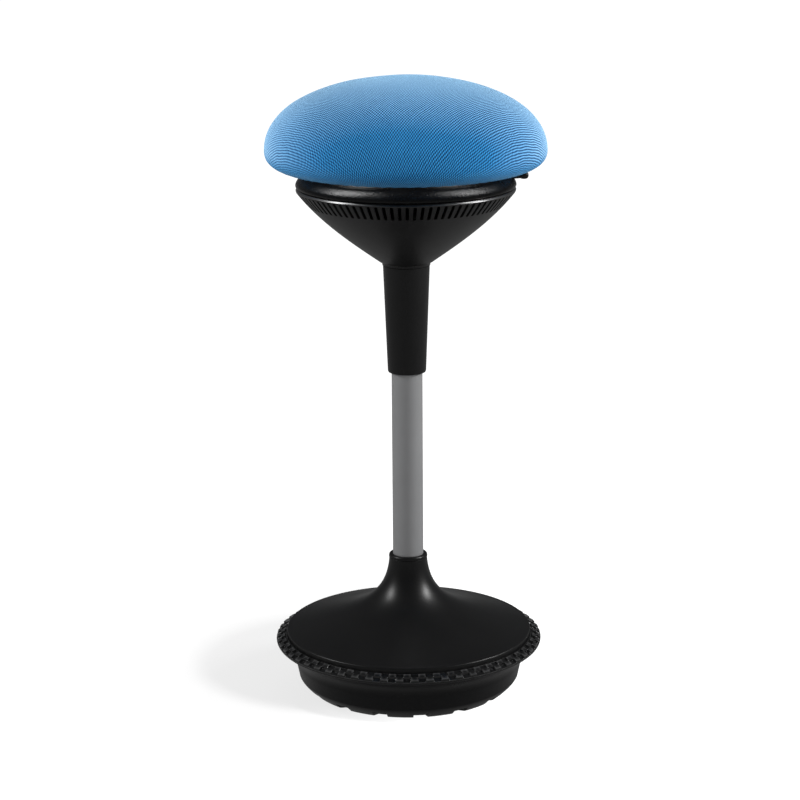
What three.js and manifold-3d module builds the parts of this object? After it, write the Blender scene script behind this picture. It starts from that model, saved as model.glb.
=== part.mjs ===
// A height-adjustable wobble stool: a padded mesh-fabric seat on a vented cone,
// a gas lift in a steel tube, and a weighted base that rocks on a domed rubber foot.
// Millimetres, +Z up, origin on the floor below the middle of the stool.

import * as THREE from 'three';
import { mergeVertices } from 'three/addons/utils/BufferGeometryUtils.js';
import Module from 'manifold-3d';

const wasm = await Module();
wasm.setup();

// Driving dimensions: the whole stool

const assembly_gap = 0.3;
const cut_overrun = 4;
const weld_distance = 0.0005;
const stroke = 180;

// Driving dimensions: rubber foot

const foot_land_radius = 45;
const foot_dome_radius = 468;
const foot_heel_width = 13.7;
const foot_heel_height = 30;
const foot_bowl_draft = 3.5;
const foot_wall_height = 46;
const foot_wall_thickness = 9;
const flange_radius = 166.5;
const flange_height = 76;
const flange_lip = 4;
const flange_crown = 6.5;
const flange_width = 13.5;
const flange_overhang = 24.5;
const foot_floor_height = 17;
const tread_count = 16;
const tread_inner_radius = 66;
const tread_run_out = 2;
const tread_depth = 2;
const tread_gap_share = 0.35;
const tread_turn_degrees = -5.6;
const castle_count = 56;
const castle_height = 2.2;
const castle_row_inset = 1.2;
const castle_step = 4.6;
const foot_turn_degrees = 0.8;

// Driving dimensions: weight, base plate and column

const weight_clearance = 17;
const weight_thickness = 16;
const weight_edge = 5;
const base_plate_radius = 62;
const base_plate_thickness = 5;
const column_radius = 19;
const column_wall = 1.8;
const column_length = 393.1;
const weight_bolt_circle = 44;
const foot_screw_circle = 54;

// Driving dimensions: base shell

const shell_edge_rise = 13;
const shell_skirt = 9.2;
const shell_wall = 3;
const neck_radius = 23.8;
const neck_rise = 89;
const neck_lip = 3;
const neck_ring_radius = 22.8;
const neck_ring_height = 4.2;
const neck_ring_depth = 18;

// Driving dimensions: gas lift

const rod_radius = 5;
const rod_end_clearance = 2.4;
const bearing_seat_clearance = 8.4;
const bearing_seat_thickness = 4;
const race_radius = 14;
const race_thickness = 2;
const ball_radius = 2;
const ball_count = 7;
const cage_thickness = 1.6;
const bumper_height = 15;
const bumper_radius = 12.5;
const bumper_clearance = 1;
const clip_thickness = 2;
const clip_radius = 9;
const pressure_radius = 14;
const pressure_wall = 1.5;
const pressure_top_drop = 22;
const taper_length = 34;
const taper_drop = 0.9;
const seal_length = 12;
const piston_length = 14;
const piston_clearance = 0.35;
const bush_length = 60;
const bush_rim = 3;

// Driving dimensions: seat plate, lever and board

const socket_wall = 3.4;
const socket_length = 32;
const pan_depth = 28;
const pan_thickness = 2.5;
const pan_flange_inset = 19;
const pan_flange_width = 21;
const pan_wall_slope = 18;
const board_rise = 30.4;
const board_thickness = 12;
const board_inset = 16.3;
const plate_bolt_inset = 28;
const collar_screw_inset = 8;
const lever_drop = 14;
const lever_pivot_reach = 30;
const lever_paddle_width = 12;
const lever_paddle_height = 8;
const lever_paddle_tail = 9;
const lever_paddle_nose = 12;
const lever_rod_radius = 3.4;
const lever_overhang = 22.5;
const lever_grip_length = 19;
const lever_grip_radius = 4.6;
const button_radius = 3.9;
const pivot_pin_radius = 2.5;
const ear_thickness = 3;
const ear_length = 16;

// Driving dimensions: collar, cone and sleeve

const collar_overhang = 0.9;
const collar_bead_rise = 4.4;
const collar_bead_radius = 9.6;
const collar_upstand_clearance = 1.5;
const collar_wall = 2.6;
const collar_groove = 1.3;
const cone_top_radius = 132.3;
const cone_top_height = 643.6;
const cone_base_radius = 33.5;
const cone_depth = 86.6;
const cone_neck_radius = 29.2;
const cone_neck_length = 5;
const cone_wall = 2.6;
const vent_count = 90;
const vent_width = 2.9;
const vent_top_drop = 1.9;
const vent_height = 18;
const vent_turn_degrees = 1.2;
const sleeve_top_radius = 28.5;
const sleeve_bottom_radius = 23.6;
const sleeve_length = 133.4;
const sleeve_bore = 20.8;
const sleeve_edge_round = 3.5;
const sleeve_spigot = 10;

// Driving dimensions: cushion

const seat_radius = 169.7;
const seat_crown = 87;
const seat_side_rise = 25;
const seat_underside_drop = 7;
const seat_lip_width = 9;
const cover_thickness = 4;
const recess_clearance = 0.6;
const lever_recess_width = 20;
const lever_recess_height = 14;
const lever_recess_clearance = 4.5;

// Driving dimensions: fasteners

const bolt_radius = 3;
const bolt_head_radius = 5.5;
const bolt_head_height = 4;
const heavy_bolt_radius = 4;
const heavy_bolt_head_radius = 7.4;
const heavy_bolt_head_height = 5.3;
const screw_radius = 2;
const screw_head_radius = 4;
const screw_head_height = 2.2;
const tnut_flange_radius = 9;
const tnut_flange_thickness = 1.4;
const tnut_barrel_radius = 4.2;
const tnut_length = 9;

// Sizes that follow from the driving ones

const foot_wall_radius = flange_radius - flange_overhang;
const foot_bowl_radius = foot_wall_radius - foot_bowl_draft;
const foot_heel_radius = foot_bowl_radius - foot_heel_width;
const foot_cavity_radius = foot_wall_radius - foot_wall_thickness;
const tread_outer_radius = foot_heel_radius + tread_run_out;
const weight_radius = foot_cavity_radius - weight_clearance;
const shell_edge_radius = flange_radius - flange_width;
const shell_edge_height = flange_height + shell_edge_rise;
const neck_height = shell_edge_height + neck_rise;
const neck_mouth_height = neck_height + neck_lip;
const collar_radius = cone_top_radius + collar_overhang;
const collar_widest_height = cone_top_height + collar_bead_rise;
const cone_base_height = cone_top_height - cone_depth;
const cone_neck_height = cone_base_height - cone_neck_length;
const board_radius = cone_top_radius - board_inset;
const board_bottom = cone_top_height + board_rise;
const plate_bolt_circle = board_radius - plate_bolt_inset;
const collar_upstand_radius = board_radius + collar_upstand_clearance;
const collar_screw_circle = collar_upstand_radius - collar_screw_inset;
const pan_flange_radius = board_radius - pan_flange_inset;
const pan_wall_radius = pan_flange_radius - pan_flange_width;
const pan_floor_radius = pan_wall_radius - pan_wall_slope;
const pan_floor_height = board_bottom - pan_depth;
const pressure_top = board_bottom - pressure_top_drop;
const lever_height = board_bottom - lever_drop;
const seat_lip_radius = board_radius + seat_lip_width;
const seat_underside = board_bottom - seat_underside_drop;
const seat_widest_height = seat_underside + seat_side_rise;
const seat_top = seat_widest_height + seat_crown;
const lever_tip_reach = seat_lip_radius + lever_overhang;
const lever_recess_reach = lever_tip_reach + lever_recess_clearance;

// Facet counts

const foot_segments = 56;
const round_segments = 36;
const vent_segments = 45;
const column_segments = 30;
const tube_segments = 20;
const small_segments = 10;
const fastener_segments = 8;
const short_curve = 2;
const middle_curve = 3;
const long_curve = 5;
const ball_segments = 6;
const ball_rings = 4;

// Finishes

function finish(color, roughness, metalness) {
  return new THREE.MeshStandardMaterial({ color, roughness, metalness });
}
const finishes = {
  rubber: () => finish(0x151618, 0.6, 0),
  plastic: () => finish(0x1a1b1d, 0.45, 0),
  nylon: () => finish(0x26272a, 0.55, 0),
  silver: () => finish(0x9a9c9e, 0.35, 1),
  chrome: () => finish(0xc8cacc, 0.12, 1),
  zinc: () => finish(0xb4b6b4, 0.35, 1),
  black_steel: () => finish(0x1e1f21, 0.5, 0.6),
  iron: () => finish(0x3a3b3c, 0.8, 0.5),
  brass: () => finish(0xb08d3c, 0.35, 1),
  fabric: () => finish(0x3f8fc9, 0.95, 0),
  foam: () => finish(0xe6dcae, 0.95, 0),
  plywood: () => finish(0xc9a673, 0.7, 0),
};

// Solid helpers

function asSolid(geometry) {
  const bare = geometry.index ? geometry.clone() : geometry;
  bare.deleteAttribute('normal');
  bare.deleteAttribute('uv');
  const welded = mergeVertices(bare, weld_distance);
  const corners = welded.index.array;
  const kept = [];
  for (let i = 0; i < corners.length; i += 3) {
    const [a, b, c] = [corners[i], corners[i + 1], corners[i + 2]];
    if (a !== b && b !== c && c !== a) kept.push(a, b, c);
  }
  return new wasm.Manifold(new wasm.Mesh({
    numProp: 3,
    vertProperties: new Float32Array(welded.attributes.position.array),
    triVerts: new Uint32Array(kept),
  }));
}

function asMesh(name, solid, material) {
  const raw = solid.getMesh();
  const geometry = new THREE.BufferGeometry();
  geometry.setAttribute('position', new THREE.BufferAttribute(raw.vertProperties, 3));
  geometry.setIndex(new THREE.BufferAttribute(raw.triVerts, 1));
  geometry.computeVertexNormals();
  const mesh = new THREE.Mesh(geometry, material);
  mesh.name = name;
  return mesh;
}

// Stretches of an outline, as lists of (radius, height) places that leave out the start.
function pairs(curve, steps) {
  return curve.getPoints(steps).slice(1).map((point) => [point.x, point.y]);
}

function bend(steps, start, ...pulls) {
  const [a, b, c, d] = [start, ...pulls].map(([r, z]) => new THREE.Vector2(r, z));
  return pairs(d ? new THREE.CubicBezierCurve(a, b, c, d) : new THREE.QuadraticBezierCurve(a, b, c), steps);
}

function arc(steps, radius, height, arc_radius, from, to) {
  const curve = new THREE.EllipseCurve(radius, height, arc_radius, arc_radius, from, to, from > to);
  return pairs(curve, steps);
}

// A closed outline of (radius, height) places turned about Z.
function revolve(outline, segments) {
  const points = outline.map(([r, z]) => new THREE.Vector2(r, z));
  const first = points[0];
  const last = points[points.length - 1];
  if (!first.equals(last)) points.push(first.clone());
  if (THREE.ShapeUtils.area(points) < 0) points.reverse();
  return asSolid(new THREE.LatheGeometry(points, segments).rotateX(Math.PI / 2));
}

function ring(inner, outer, bottom, top, segments = tube_segments) {
  return revolve([[inner, bottom], [outer, bottom], [outer, top], [inner, top]], segments);
}

function disc(radius, bottom, top, segments = tube_segments) {
  return revolve([[0, bottom], [radius, bottom], [radius, top], [0, top]], segments);
}

function block(x_low, x_high, y_low, y_high, z_low, z_high) {
  const box = new THREE.BoxGeometry(x_high - x_low, y_high - y_low, z_high - z_low);
  return asSolid(box.translate((x_low + x_high) / 2, (y_low + y_high) / 2, (z_low + z_high) / 2));
}

function prism(shape, bottom, top) {
  const geometry = new THREE.ExtrudeGeometry(shape, { depth: top - bottom, bevelEnabled: false });
  return asSolid(geometry.translate(0, 0, bottom));
}

function hexagon(radius) {
  const shape = new THREE.Shape();
  for (let i = 0; i < 6; i += 1) {
    const angle = (i * Math.PI) / 3;
    shape.lineTo(radius * Math.cos(angle), radius * Math.sin(angle));
  }
  return shape;
}

function joined(solids) {
  return solids.reduce((whole, solid) => whole.add(solid));
}

function turned(solid, angle_degrees) {
  return solid.rotate([0, 0, angle_degrees]);
}

// The four places of a bolt circle, starting between the lever and the next quarter.
function circlePlaces(radius, count = 4, start_degrees = 45) {
  const places = [];
  for (let i = 0; i < count; i += 1) {
    const angle = ((start_degrees + (360 * i) / count) * Math.PI) / 180;
    places.push([radius * Math.cos(angle), radius * Math.sin(angle)]);
  }
  return places;
}

function drilled(solid, places, radius, bottom, top) {
  let result = solid;
  for (const [x, y] of places) {
    result = result.subtract(disc(radius, bottom, top, fastener_segments).translate([x, y, 0]));
  }
  return result;
}

function fixedCopies(name, solid, places, material) {
  return places.map(([x, y], i) => asMesh(`${name}_${i + 1}`, solid.translate([x, y, 0]), material()));
}

const stool = new THREE.Group();
function place(...meshes) {
  stool.add(...meshes);
}

// Rubber foot: a moulded bowl with a domed tread, and a flange with a castellated ring on top

const dome_centre = Math.sqrt(foot_dome_radius ** 2 - foot_land_radius ** 2);
function domeHeight(radius) {
  return dome_centre - Math.sqrt(foot_dome_radius ** 2 - radius ** 2);
}
const heel_start_height = domeHeight(foot_heel_radius);
const shell_seat_height = shell_edge_height - shell_skirt - assembly_gap;
const shell_seat_radius = shell_edge_radius + assembly_gap * 2;
const flange_inner_radius = shell_seat_radius + assembly_gap;
const flange_inner_height = flange_height + flange_crown;
const heel_pull_share = 0.1;
const heel_rise_share = 0.225;
const cove_shares = { out_low: 0.06, up_low: 0.4, out_high: 0.42, up_high: 0.72 };

function footOutline() {
  const start_angle = Math.atan2(-dome_centre, foot_land_radius);
  const end_angle = Math.atan2(heel_start_height - dome_centre, foot_heel_radius);
  const heel_rise = foot_heel_height - heel_start_height;
  const cove_reach = flange_radius - flange_lip - foot_wall_radius;
  const cove_rise = flange_height - flange_lip - foot_wall_height;
  const heel_slope = foot_heel_radius / (dome_centre - heel_start_height);
  const pull = (foot_bowl_radius - foot_heel_radius) * heel_pull_share;
  const heel_start = [foot_heel_radius, heel_start_height];
  const wall_top = [foot_wall_radius, foot_wall_height];
  const lip_start = [flange_radius - flange_lip, flange_height - flange_lip];
  const cavity_foot = [foot_cavity_radius, foot_heel_height + foot_floor_height];
  return [
    [0, 0],
    [foot_land_radius, 0],
    ...arc(short_curve, 0, dome_centre, foot_dome_radius, start_angle, end_angle),
    ...bend(
      long_curve, heel_start,
      [foot_heel_radius + pull, heel_start_height + pull * heel_slope],
      [foot_bowl_radius, foot_heel_height - heel_rise * heel_rise_share],
      [foot_bowl_radius, foot_heel_height],
    ),
    wall_top,
    ...bend(
      middle_curve, wall_top,
      [foot_wall_radius + cove_reach * cove_shares.out_low, foot_wall_height + cove_rise * cove_shares.up_low],
      [foot_wall_radius + cove_reach * cove_shares.out_high, foot_wall_height + cove_rise * cove_shares.up_high],
      lip_start,
    ),
    ...bend(short_curve, lip_start, [flange_radius, flange_height - flange_lip], [flange_radius, flange_height]),
    [flange_inner_radius, flange_inner_height],
    [shell_seat_radius, shell_seat_height],
    [foot_cavity_radius, shell_seat_height],
    cavity_foot,
    ...bend(
      short_curve, cavity_foot, [foot_cavity_radius, foot_floor_height],
      [weight_radius - weight_edge, foot_floor_height],
    ),
    [0, foot_floor_height],
  ];
}

// Grooves between the tread lugs: wedges cut as deep as the tread, following the dome.
function treadGrooves() {
  const band = [[tread_inner_radius, -cut_overrun], [tread_outer_radius, -cut_overrun]];
  for (let i = middle_curve; i >= 0; i -= 1) {
    const radius = tread_inner_radius + ((tread_outer_radius - tread_inner_radius) * i) / middle_curve;
    band.push([radius, domeHeight(radius) + tread_depth]);
  }
  const half_gap = (Math.PI / tread_count) * tread_gap_share;
  const wedges = [];
  for (let i = 0; i < tread_count; i += 1) {
    const middle = (2 * Math.PI * (i + 0.5)) / tread_count;
    const wedge = new THREE.Shape();
    wedge.moveTo(tread_inner_radius * Math.cos(middle), tread_inner_radius * Math.sin(middle));
    for (const side of [-1, 1]) {
      const angle = middle + side * half_gap;
      const reach = tread_outer_radius + cut_overrun;
      wedge.lineTo(reach * Math.cos(angle), reach * Math.sin(angle));
    }
    wedges.push(prism(wedge, -cut_overrun * 2, foot_heel_height));
  }
  return revolve(band, foot_segments).intersect(turned(joined(wedges), tread_turn_degrees));
}

// The castellated ring: one band whose two edges step in and out together, on the sloping flange.
function castellation() {
  const outer_edge = [];
  const inner_edge = [];
  const row_inner = flange_inner_radius + castle_row_inset;
  const row_outer = flange_radius - castle_row_inset;
  for (let i = 0; i < castle_count * 2; i += 1) {
    const outer_row = i % 2 === 0;
    for (const side of [0, 1]) {
      const angle = (Math.PI * (i + side)) / castle_count;
      const outer = outer_row ? row_outer : row_outer - castle_step;
      const inner = outer_row ? row_inner + castle_step : row_inner;
      outer_edge.push(new THREE.Vector2(outer * Math.cos(angle), outer * Math.sin(angle)));
      inner_edge.push(new THREE.Vector2(inner * Math.cos(angle), inner * Math.sin(angle)));
    }
  }
  const plan = new THREE.Shape(outer_edge);
  plan.holes.push(new THREE.Path(inner_edge.reverse()));
  const slope = flange_crown / (flange_radius - flange_inner_radius);
  const low_reach = flange_radius + cut_overrun;
  const high_reach = flange_inner_radius - cut_overrun;
  const low_height = flange_height - slope * cut_overrun;
  const high_height = flange_inner_height + slope * cut_overrun;
  const band = revolve([
    [high_reach, high_height - castle_height],
    [low_reach, low_height - castle_height],
    [low_reach, low_height + castle_height],
    [high_reach, high_height + castle_height],
  ], foot_segments);
  return prism(plan, flange_height - cut_overrun, flange_inner_height + cut_overrun).intersect(band);
}

const foot_screw_places = circlePlaces(foot_screw_circle);
const foot_screw_seat = foot_floor_height / 2 + screw_head_height;
let foot = revolve(footOutline(), foot_segments);
foot = turned(foot.subtract(treadGrooves()).add(castellation()), foot_turn_degrees);
foot = drilled(foot, foot_screw_places, screw_head_radius + assembly_gap, -cut_overrun, foot_screw_seat);
foot = drilled(foot, foot_screw_places, screw_radius + assembly_gap, 0, foot_floor_height + cut_overrun);
place(asMesh('rubber_foot', foot, finishes.rubber()));

// Cast-iron weight: a thick disc on the foot's floor, with a chamfered edge and tapped holes

const weight_bottom = foot_floor_height + assembly_gap;
const weight_top = weight_bottom + weight_thickness;
const weight_bolt_places = circlePlaces(weight_bolt_circle);
let weight = revolve([
  [0, weight_bottom],
  [weight_radius - weight_edge * 2, weight_bottom],
  [weight_radius, weight_bottom + weight_edge * 2],
  [weight_radius, weight_top - weight_edge / 2],
  [weight_radius - weight_edge / 2, weight_top],
  [0, weight_top],
], round_segments);
weight = drilled(weight, foot_screw_places, screw_radius + assembly_gap, 0, weight_top + cut_overrun);
weight = drilled(weight, weight_bolt_places, heavy_bolt_radius + assembly_gap, 0, weight_top + cut_overrun);
place(asMesh('base_weight', weight, finishes.iron()));

// Base plate: the steel disc welded to the column and bolted to the weight

const plate_bottom = weight_top + assembly_gap;
const plate_top = plate_bottom + base_plate_thickness;
let base_plate = disc(base_plate_radius, plate_bottom, plate_top, round_segments);
base_plate = drilled(
  base_plate, weight_bolt_places, heavy_bolt_radius + assembly_gap, 0, plate_top + cut_overrun,
);
base_plate = drilled(base_plate, foot_screw_places, screw_head_radius, 0, plate_top + cut_overrun);
place(asMesh('base_plate', base_plate, finishes.black_steel()));

const weight_bolt_head_bottom = plate_top + assembly_gap;
const weight_bolt = prism(
  hexagon(heavy_bolt_head_radius), weight_bolt_head_bottom, weight_bolt_head_bottom + heavy_bolt_head_height,
).add(disc(heavy_bolt_radius, weight_bottom + assembly_gap, weight_bolt_head_bottom, fastener_segments));
place(...fixedCopies('weight_bolt', weight_bolt, weight_bolt_places, finishes.zinc));

const foot_screw_head_top = foot_screw_seat - assembly_gap;
const foot_screw = disc(
  screw_head_radius, foot_screw_head_top - screw_head_height, foot_screw_head_top, fastener_segments,
).add(disc(screw_radius, foot_screw_head_top - screw_head_height / 2, weight_top, fastener_segments));
place(...fixedCopies('foot_screw', foot_screw, foot_screw_places, finishes.zinc));

// Column: the silver steel tube, with the lift's bearing seat near its lower end

const column_bore = column_radius - column_wall;
const column_bottom = plate_top + assembly_gap;
const column_top = column_bottom + column_length;
const rod_end_height = plate_top + rod_end_clearance;
const bearing_seat_height = plate_top + bearing_seat_clearance;
place(asMesh(
  'column_tube', ring(column_bore, column_radius, column_bottom, column_top, column_segments), finishes.silver(),
));

const seat_bore = rod_radius + assembly_gap;
const bearing_seat_top = bearing_seat_height + bearing_seat_thickness;
place(asMesh(
  'bearing_seat',
  ring(seat_bore, column_bore - assembly_gap, bearing_seat_height, bearing_seat_top),
  finishes.zinc(),
));

// Base shell: the moulded trumpet that covers the weight, with a skirt that sits inside the flange

const neck_bore = neck_radius - shell_wall;
const flare_shares = { neck_out: 0.04, neck_down: 0.6, edge_in: 0.66, edge_up: 0.25 };
function flare(neck, edge) {
  const reach = edge[0] - neck[0];
  const rise = neck[1] - edge[1];
  const near_neck = [neck[0] + reach * flare_shares.neck_out, neck[1] - rise * flare_shares.neck_down];
  const near_edge = [edge[0] - reach * flare_shares.edge_in, edge[1] + rise * flare_shares.edge_up];
  return [near_neck, near_edge];
}
const shell_bottom = shell_edge_height - shell_skirt;
const shell_edge_round = shell_wall / 2;
const shell_edge_top = [shell_edge_radius - shell_edge_round, shell_edge_height];
const shell_edge_side = [shell_edge_radius, shell_edge_height - shell_edge_round];
const shell_under_edge = [shell_edge_radius - shell_wall, shell_edge_height - shell_wall];
const neck_outside = [neck_radius, neck_height];
const neck_inside = [neck_bore, neck_height];
const base_shell = revolve([
  [shell_edge_radius - shell_wall, shell_bottom],
  [shell_edge_radius, shell_bottom],
  shell_edge_side,
  ...bend(short_curve, shell_edge_side, [shell_edge_radius, shell_edge_height], shell_edge_top),
  ...bend(long_curve + middle_curve, shell_edge_top, ...flare(neck_outside, shell_edge_top).reverse(), neck_outside),
  [neck_radius, neck_mouth_height],
  [neck_bore, neck_mouth_height],
  neck_inside,
  ...bend(long_curve, neck_inside, ...flare(neck_inside, shell_under_edge), shell_under_edge),
], round_segments);
place(asMesh('base_shell', base_shell, finishes.plastic()));

// Neck ring: a push-in grommet that centres the shell's mouth on the column

const ring_bottom = neck_mouth_height - neck_ring_depth;
const ring_flange_bottom = neck_mouth_height + assembly_gap;
const ring_bore = column_radius + assembly_gap;
const neck_ring_top = ring_flange_bottom + neck_ring_height;
const neck_ring_edge = [neck_radius, ring_flange_bottom];
const neck_ring = revolve([
  [ring_bore, ring_bottom],
  [neck_bore - assembly_gap, ring_bottom],
  [neck_bore - assembly_gap, ring_flange_bottom],
  neck_ring_edge,
  ...bend(
    middle_curve, neck_ring_edge, [neck_radius, neck_ring_top],
    [neck_ring_radius - neck_ring_height / 2, neck_ring_top],
  ),
  [ring_bore, neck_ring_top],
], column_segments);
place(asMesh('neck_ring', neck_ring, finishes.plastic()));

// Gas lift, foot end: the rod stands on a ball thrust bearing and is held down by a clip

const race_bore = rod_radius + assembly_gap;
const lower_race_bottom = bearing_seat_top + assembly_gap;
const lower_race_top = lower_race_bottom + race_thickness;
const ball_bottom = lower_race_top + assembly_gap;
const ball_middle = ball_bottom + ball_radius;
const upper_race_bottom = ball_middle + ball_radius + assembly_gap;
const upper_race_top = upper_race_bottom + race_thickness;
const bumper_bottom = upper_race_top + assembly_gap;
const bumper_top = bumper_bottom + bumper_height;
const ball_circle = (race_bore + race_radius) / 2;

place(asMesh('lower_race', ring(race_bore, race_radius, lower_race_bottom, lower_race_top), finishes.chrome()));

let cage = ring(
  ball_circle - ball_radius, ball_circle + ball_radius,
  ball_middle - cage_thickness / 2, ball_middle + cage_thickness / 2,
);
const ball = asSolid(new THREE.SphereGeometry(ball_radius, ball_segments, ball_rings).rotateX(Math.PI / 2));
for (const [x, y] of circlePlaces(ball_circle, ball_count, 0)) {
  cage = cage.add(ball.translate([x, y, ball_middle]));
}
place(asMesh('ball_cage', cage, finishes.chrome()));

place(asMesh('upper_race', ring(race_bore, race_radius, upper_race_bottom, upper_race_top), finishes.chrome()));
const bumper_waist_share = 0.85;
place(asMesh(
  'end_bumper', revolve([
    [race_bore, bumper_bottom],
    [bumper_radius, bumper_bottom],
    [bumper_radius, bumper_bottom + bumper_height / 3],
    [bumper_radius * bumper_waist_share, bumper_bottom + bumper_height / 2],
    [bumper_radius, bumper_bottom + (bumper_height * 2) / 3],
    [bumper_radius, bumper_top],
    [race_bore, bumper_top],
  ], tube_segments), finishes.rubber(),
));

// Gas lift: piston rod and piston inside the pressure tube, which slides in a bush in the column

const pressure_bottom = bumper_top + bumper_clearance + stroke;
const piston_bottom = pressure_bottom + seal_length + assembly_gap * 3;
const piston_top = piston_bottom + piston_length;
const rod_neck_share = 0.8;
const rod_neck_radius = rod_radius * rod_neck_share;
const clip_top = bearing_seat_height - assembly_gap;
const clip_bottom = clip_top - clip_thickness;
place(asMesh(
  'piston_rod', revolve([
    [0, rod_end_height],
    [rod_radius, rod_end_height],
    [rod_radius, clip_bottom - assembly_gap],
    [rod_neck_radius, clip_bottom - assembly_gap],
    [rod_neck_radius, clip_top],
    [rod_radius, clip_top],
    [rod_radius, piston_bottom],
    [rod_neck_radius, piston_bottom],
    [rod_neck_radius, piston_top],
    [0, piston_top],
  ], small_segments), finishes.chrome(),
));
place(asMesh(
  'rod_clip',
  ring(rod_neck_radius + assembly_gap, clip_radius, clip_bottom, clip_top, small_segments),
  finishes.zinc(),
));

const pressure_bore = pressure_radius - pressure_wall;
const piston_groove_share = 0.88;
place(asMesh(
  'piston', revolve([
    [rod_neck_radius + assembly_gap, piston_bottom + assembly_gap],
    [pressure_bore - piston_clearance, piston_bottom + assembly_gap],
    [pressure_bore - piston_clearance, piston_bottom + piston_length / 3],
    [pressure_bore * piston_groove_share, piston_bottom + piston_length / 3],
    [pressure_bore * piston_groove_share, piston_bottom + piston_length / 2],
    [pressure_bore - piston_clearance, piston_bottom + piston_length / 2],
    [pressure_bore - piston_clearance, piston_top],
    [rod_neck_radius + assembly_gap, piston_top],
  ], tube_segments), finishes.brass(),
));

const taper_bottom = pressure_top - taper_length;
const valve_bore = button_radius + assembly_gap * 2;
place(asMesh(
  'pressure_tube', revolve([
    [pressure_bore, pressure_bottom],
    [pressure_radius, pressure_bottom],
    [pressure_radius, taper_bottom],
    [pressure_radius - taper_drop, pressure_top],
    [valve_bore, pressure_top],
    [valve_bore, pressure_top - taper_length / 3],
    [pressure_bore - taper_drop, pressure_top - taper_length / 2],
    [pressure_bore, taper_bottom],
  ], tube_segments), finishes.black_steel(),
));
place(asMesh(
  'rod_seal',
  ring(
    rod_radius + assembly_gap, pressure_bore - assembly_gap,
    pressure_bottom + assembly_gap, pressure_bottom + seal_length,
  ),
  finishes.rubber(),
));
place(asMesh(
  'guide_bush', revolve([
    [pressure_radius + assembly_gap, column_top - bush_length],
    [column_bore - assembly_gap, column_top - bush_length],
    [column_bore - assembly_gap, column_top + assembly_gap],
    [column_radius, column_top + assembly_gap],
    [column_radius, column_top + bush_rim],
    [pressure_radius + assembly_gap, column_top + bush_rim],
  ], tube_segments), finishes.nylon(),
));

// Release button: the valve pin in the lift's head, with a domed end under the lever

const lever_underside = lever_height - lever_paddle_height / 2;
const button_top = lever_underside - assembly_gap;
const button_bottom = pressure_top - taper_length / 3;
const button_dome = button_radius / 4;
const button_face_share = 0.7;
place(asMesh(
  'release_button', revolve([
    [0, button_bottom],
    [button_radius, button_bottom],
    [button_radius, button_top - button_dome],
    [button_radius * button_face_share, button_top - button_dome / 3],
    [0, button_top],
  ], small_segments), finishes.zinc(),
));

// Seat plate: a pressed pan with a flange, a welded taper socket for the lift and two lever ears

const socket_bottom = pressure_top - socket_length;
const socket_radius = pressure_radius + socket_wall;
const taper_slope = taper_drop / taper_length;
function taperRadius(height) {
  return pressure_radius - taper_slope * (height - taper_bottom) + assembly_gap;
}
place(asMesh(
  'taper_socket', revolve([
    [taperRadius(socket_bottom), socket_bottom],
    [socket_radius, socket_bottom],
    [socket_radius, pressure_top],
    [taperRadius(pressure_top), pressure_top],
  ], tube_segments), finishes.black_steel(),
));

const pan_flange_top = board_bottom - assembly_gap;
const pan_flange_bottom = pan_flange_top - pan_thickness;
const pan_hole = socket_radius + assembly_gap;
const ear_offset = lever_paddle_width / 2 + assembly_gap * 2;
const ear_top = lever_height + pivot_pin_radius + ear_thickness;
let seat_plate = revolve([
  [pan_hole, pan_floor_height],
  [pan_floor_radius, pan_floor_height],
  [pan_wall_radius, pan_flange_bottom],
  [pan_flange_radius, pan_flange_bottom],
  [pan_flange_radius, pan_flange_top],
  [pan_wall_radius - pan_thickness / 2, pan_flange_top],
  [pan_floor_radius - pan_thickness / 2, pan_floor_height + pan_thickness],
  [pan_hole, pan_floor_height + pan_thickness],
], round_segments);
for (const side of [-1, 1]) {
  const near = side * ear_offset;
  const far = side * (ear_offset + ear_thickness);
  seat_plate = seat_plate.add(block(
    lever_pivot_reach - ear_length / 2, lever_pivot_reach + ear_length / 2,
    Math.min(near, far), Math.max(near, far),
    pan_floor_height + pan_thickness / 2, ear_top,
  ));
}
const pin_hole_radius = pivot_pin_radius + assembly_gap;
const pin_length = 2 * (ear_offset + ear_thickness) + ear_thickness;
function crosswise(radius, length) {
  return disc(radius, -length / 2, length / 2, small_segments)
    .rotate([90, 0, 0])
    .translate([lever_pivot_reach, 0, lever_height]);
}
const lever_slot_half = lever_rod_radius + assembly_gap * 8;
seat_plate = seat_plate.subtract(crosswise(pin_hole_radius, pin_length));
seat_plate = seat_plate.subtract(block(
  pan_floor_radius - cut_overrun, pan_flange_radius,
  -lever_slot_half, lever_slot_half,
  lever_height - lever_rod_radius - assembly_gap * 4, pan_flange_bottom - assembly_gap,
));
const plate_bolt_places = circlePlaces(plate_bolt_circle);
seat_plate = drilled(
  seat_plate, plate_bolt_places, bolt_radius + assembly_gap, pan_floor_height, board_bottom,
);
place(asMesh('seat_plate', seat_plate, finishes.black_steel()));
place(asMesh('lever_pivot_pin', crosswise(pivot_pin_radius, pin_length), finishes.zinc()));

// Release lever: a flat paddle over the button, a round rod out to the rim, and a moulded grip

function alongX(solid) {
  return solid.rotate([0, 90, 0]).translate([0, 0, lever_height]);
}
const paddle_end = lever_pivot_reach + lever_paddle_nose;
const grip_start = lever_tip_reach - lever_grip_length;
const grip_wall = lever_grip_radius - lever_rod_radius;
const rod_end = lever_tip_reach - grip_wall - assembly_gap;
let lever = block(
  -lever_paddle_tail, paddle_end,
  -lever_paddle_width / 2, lever_paddle_width / 2,
  lever_underside, lever_underside + lever_paddle_height,
);
lever = lever.add(alongX(disc(lever_rod_radius, paddle_end - cut_overrun, rod_end, small_segments)));
lever = lever.subtract(crosswise(pin_hole_radius, pin_length));
place(asMesh('release_lever', lever, finishes.black_steel()));

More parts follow.
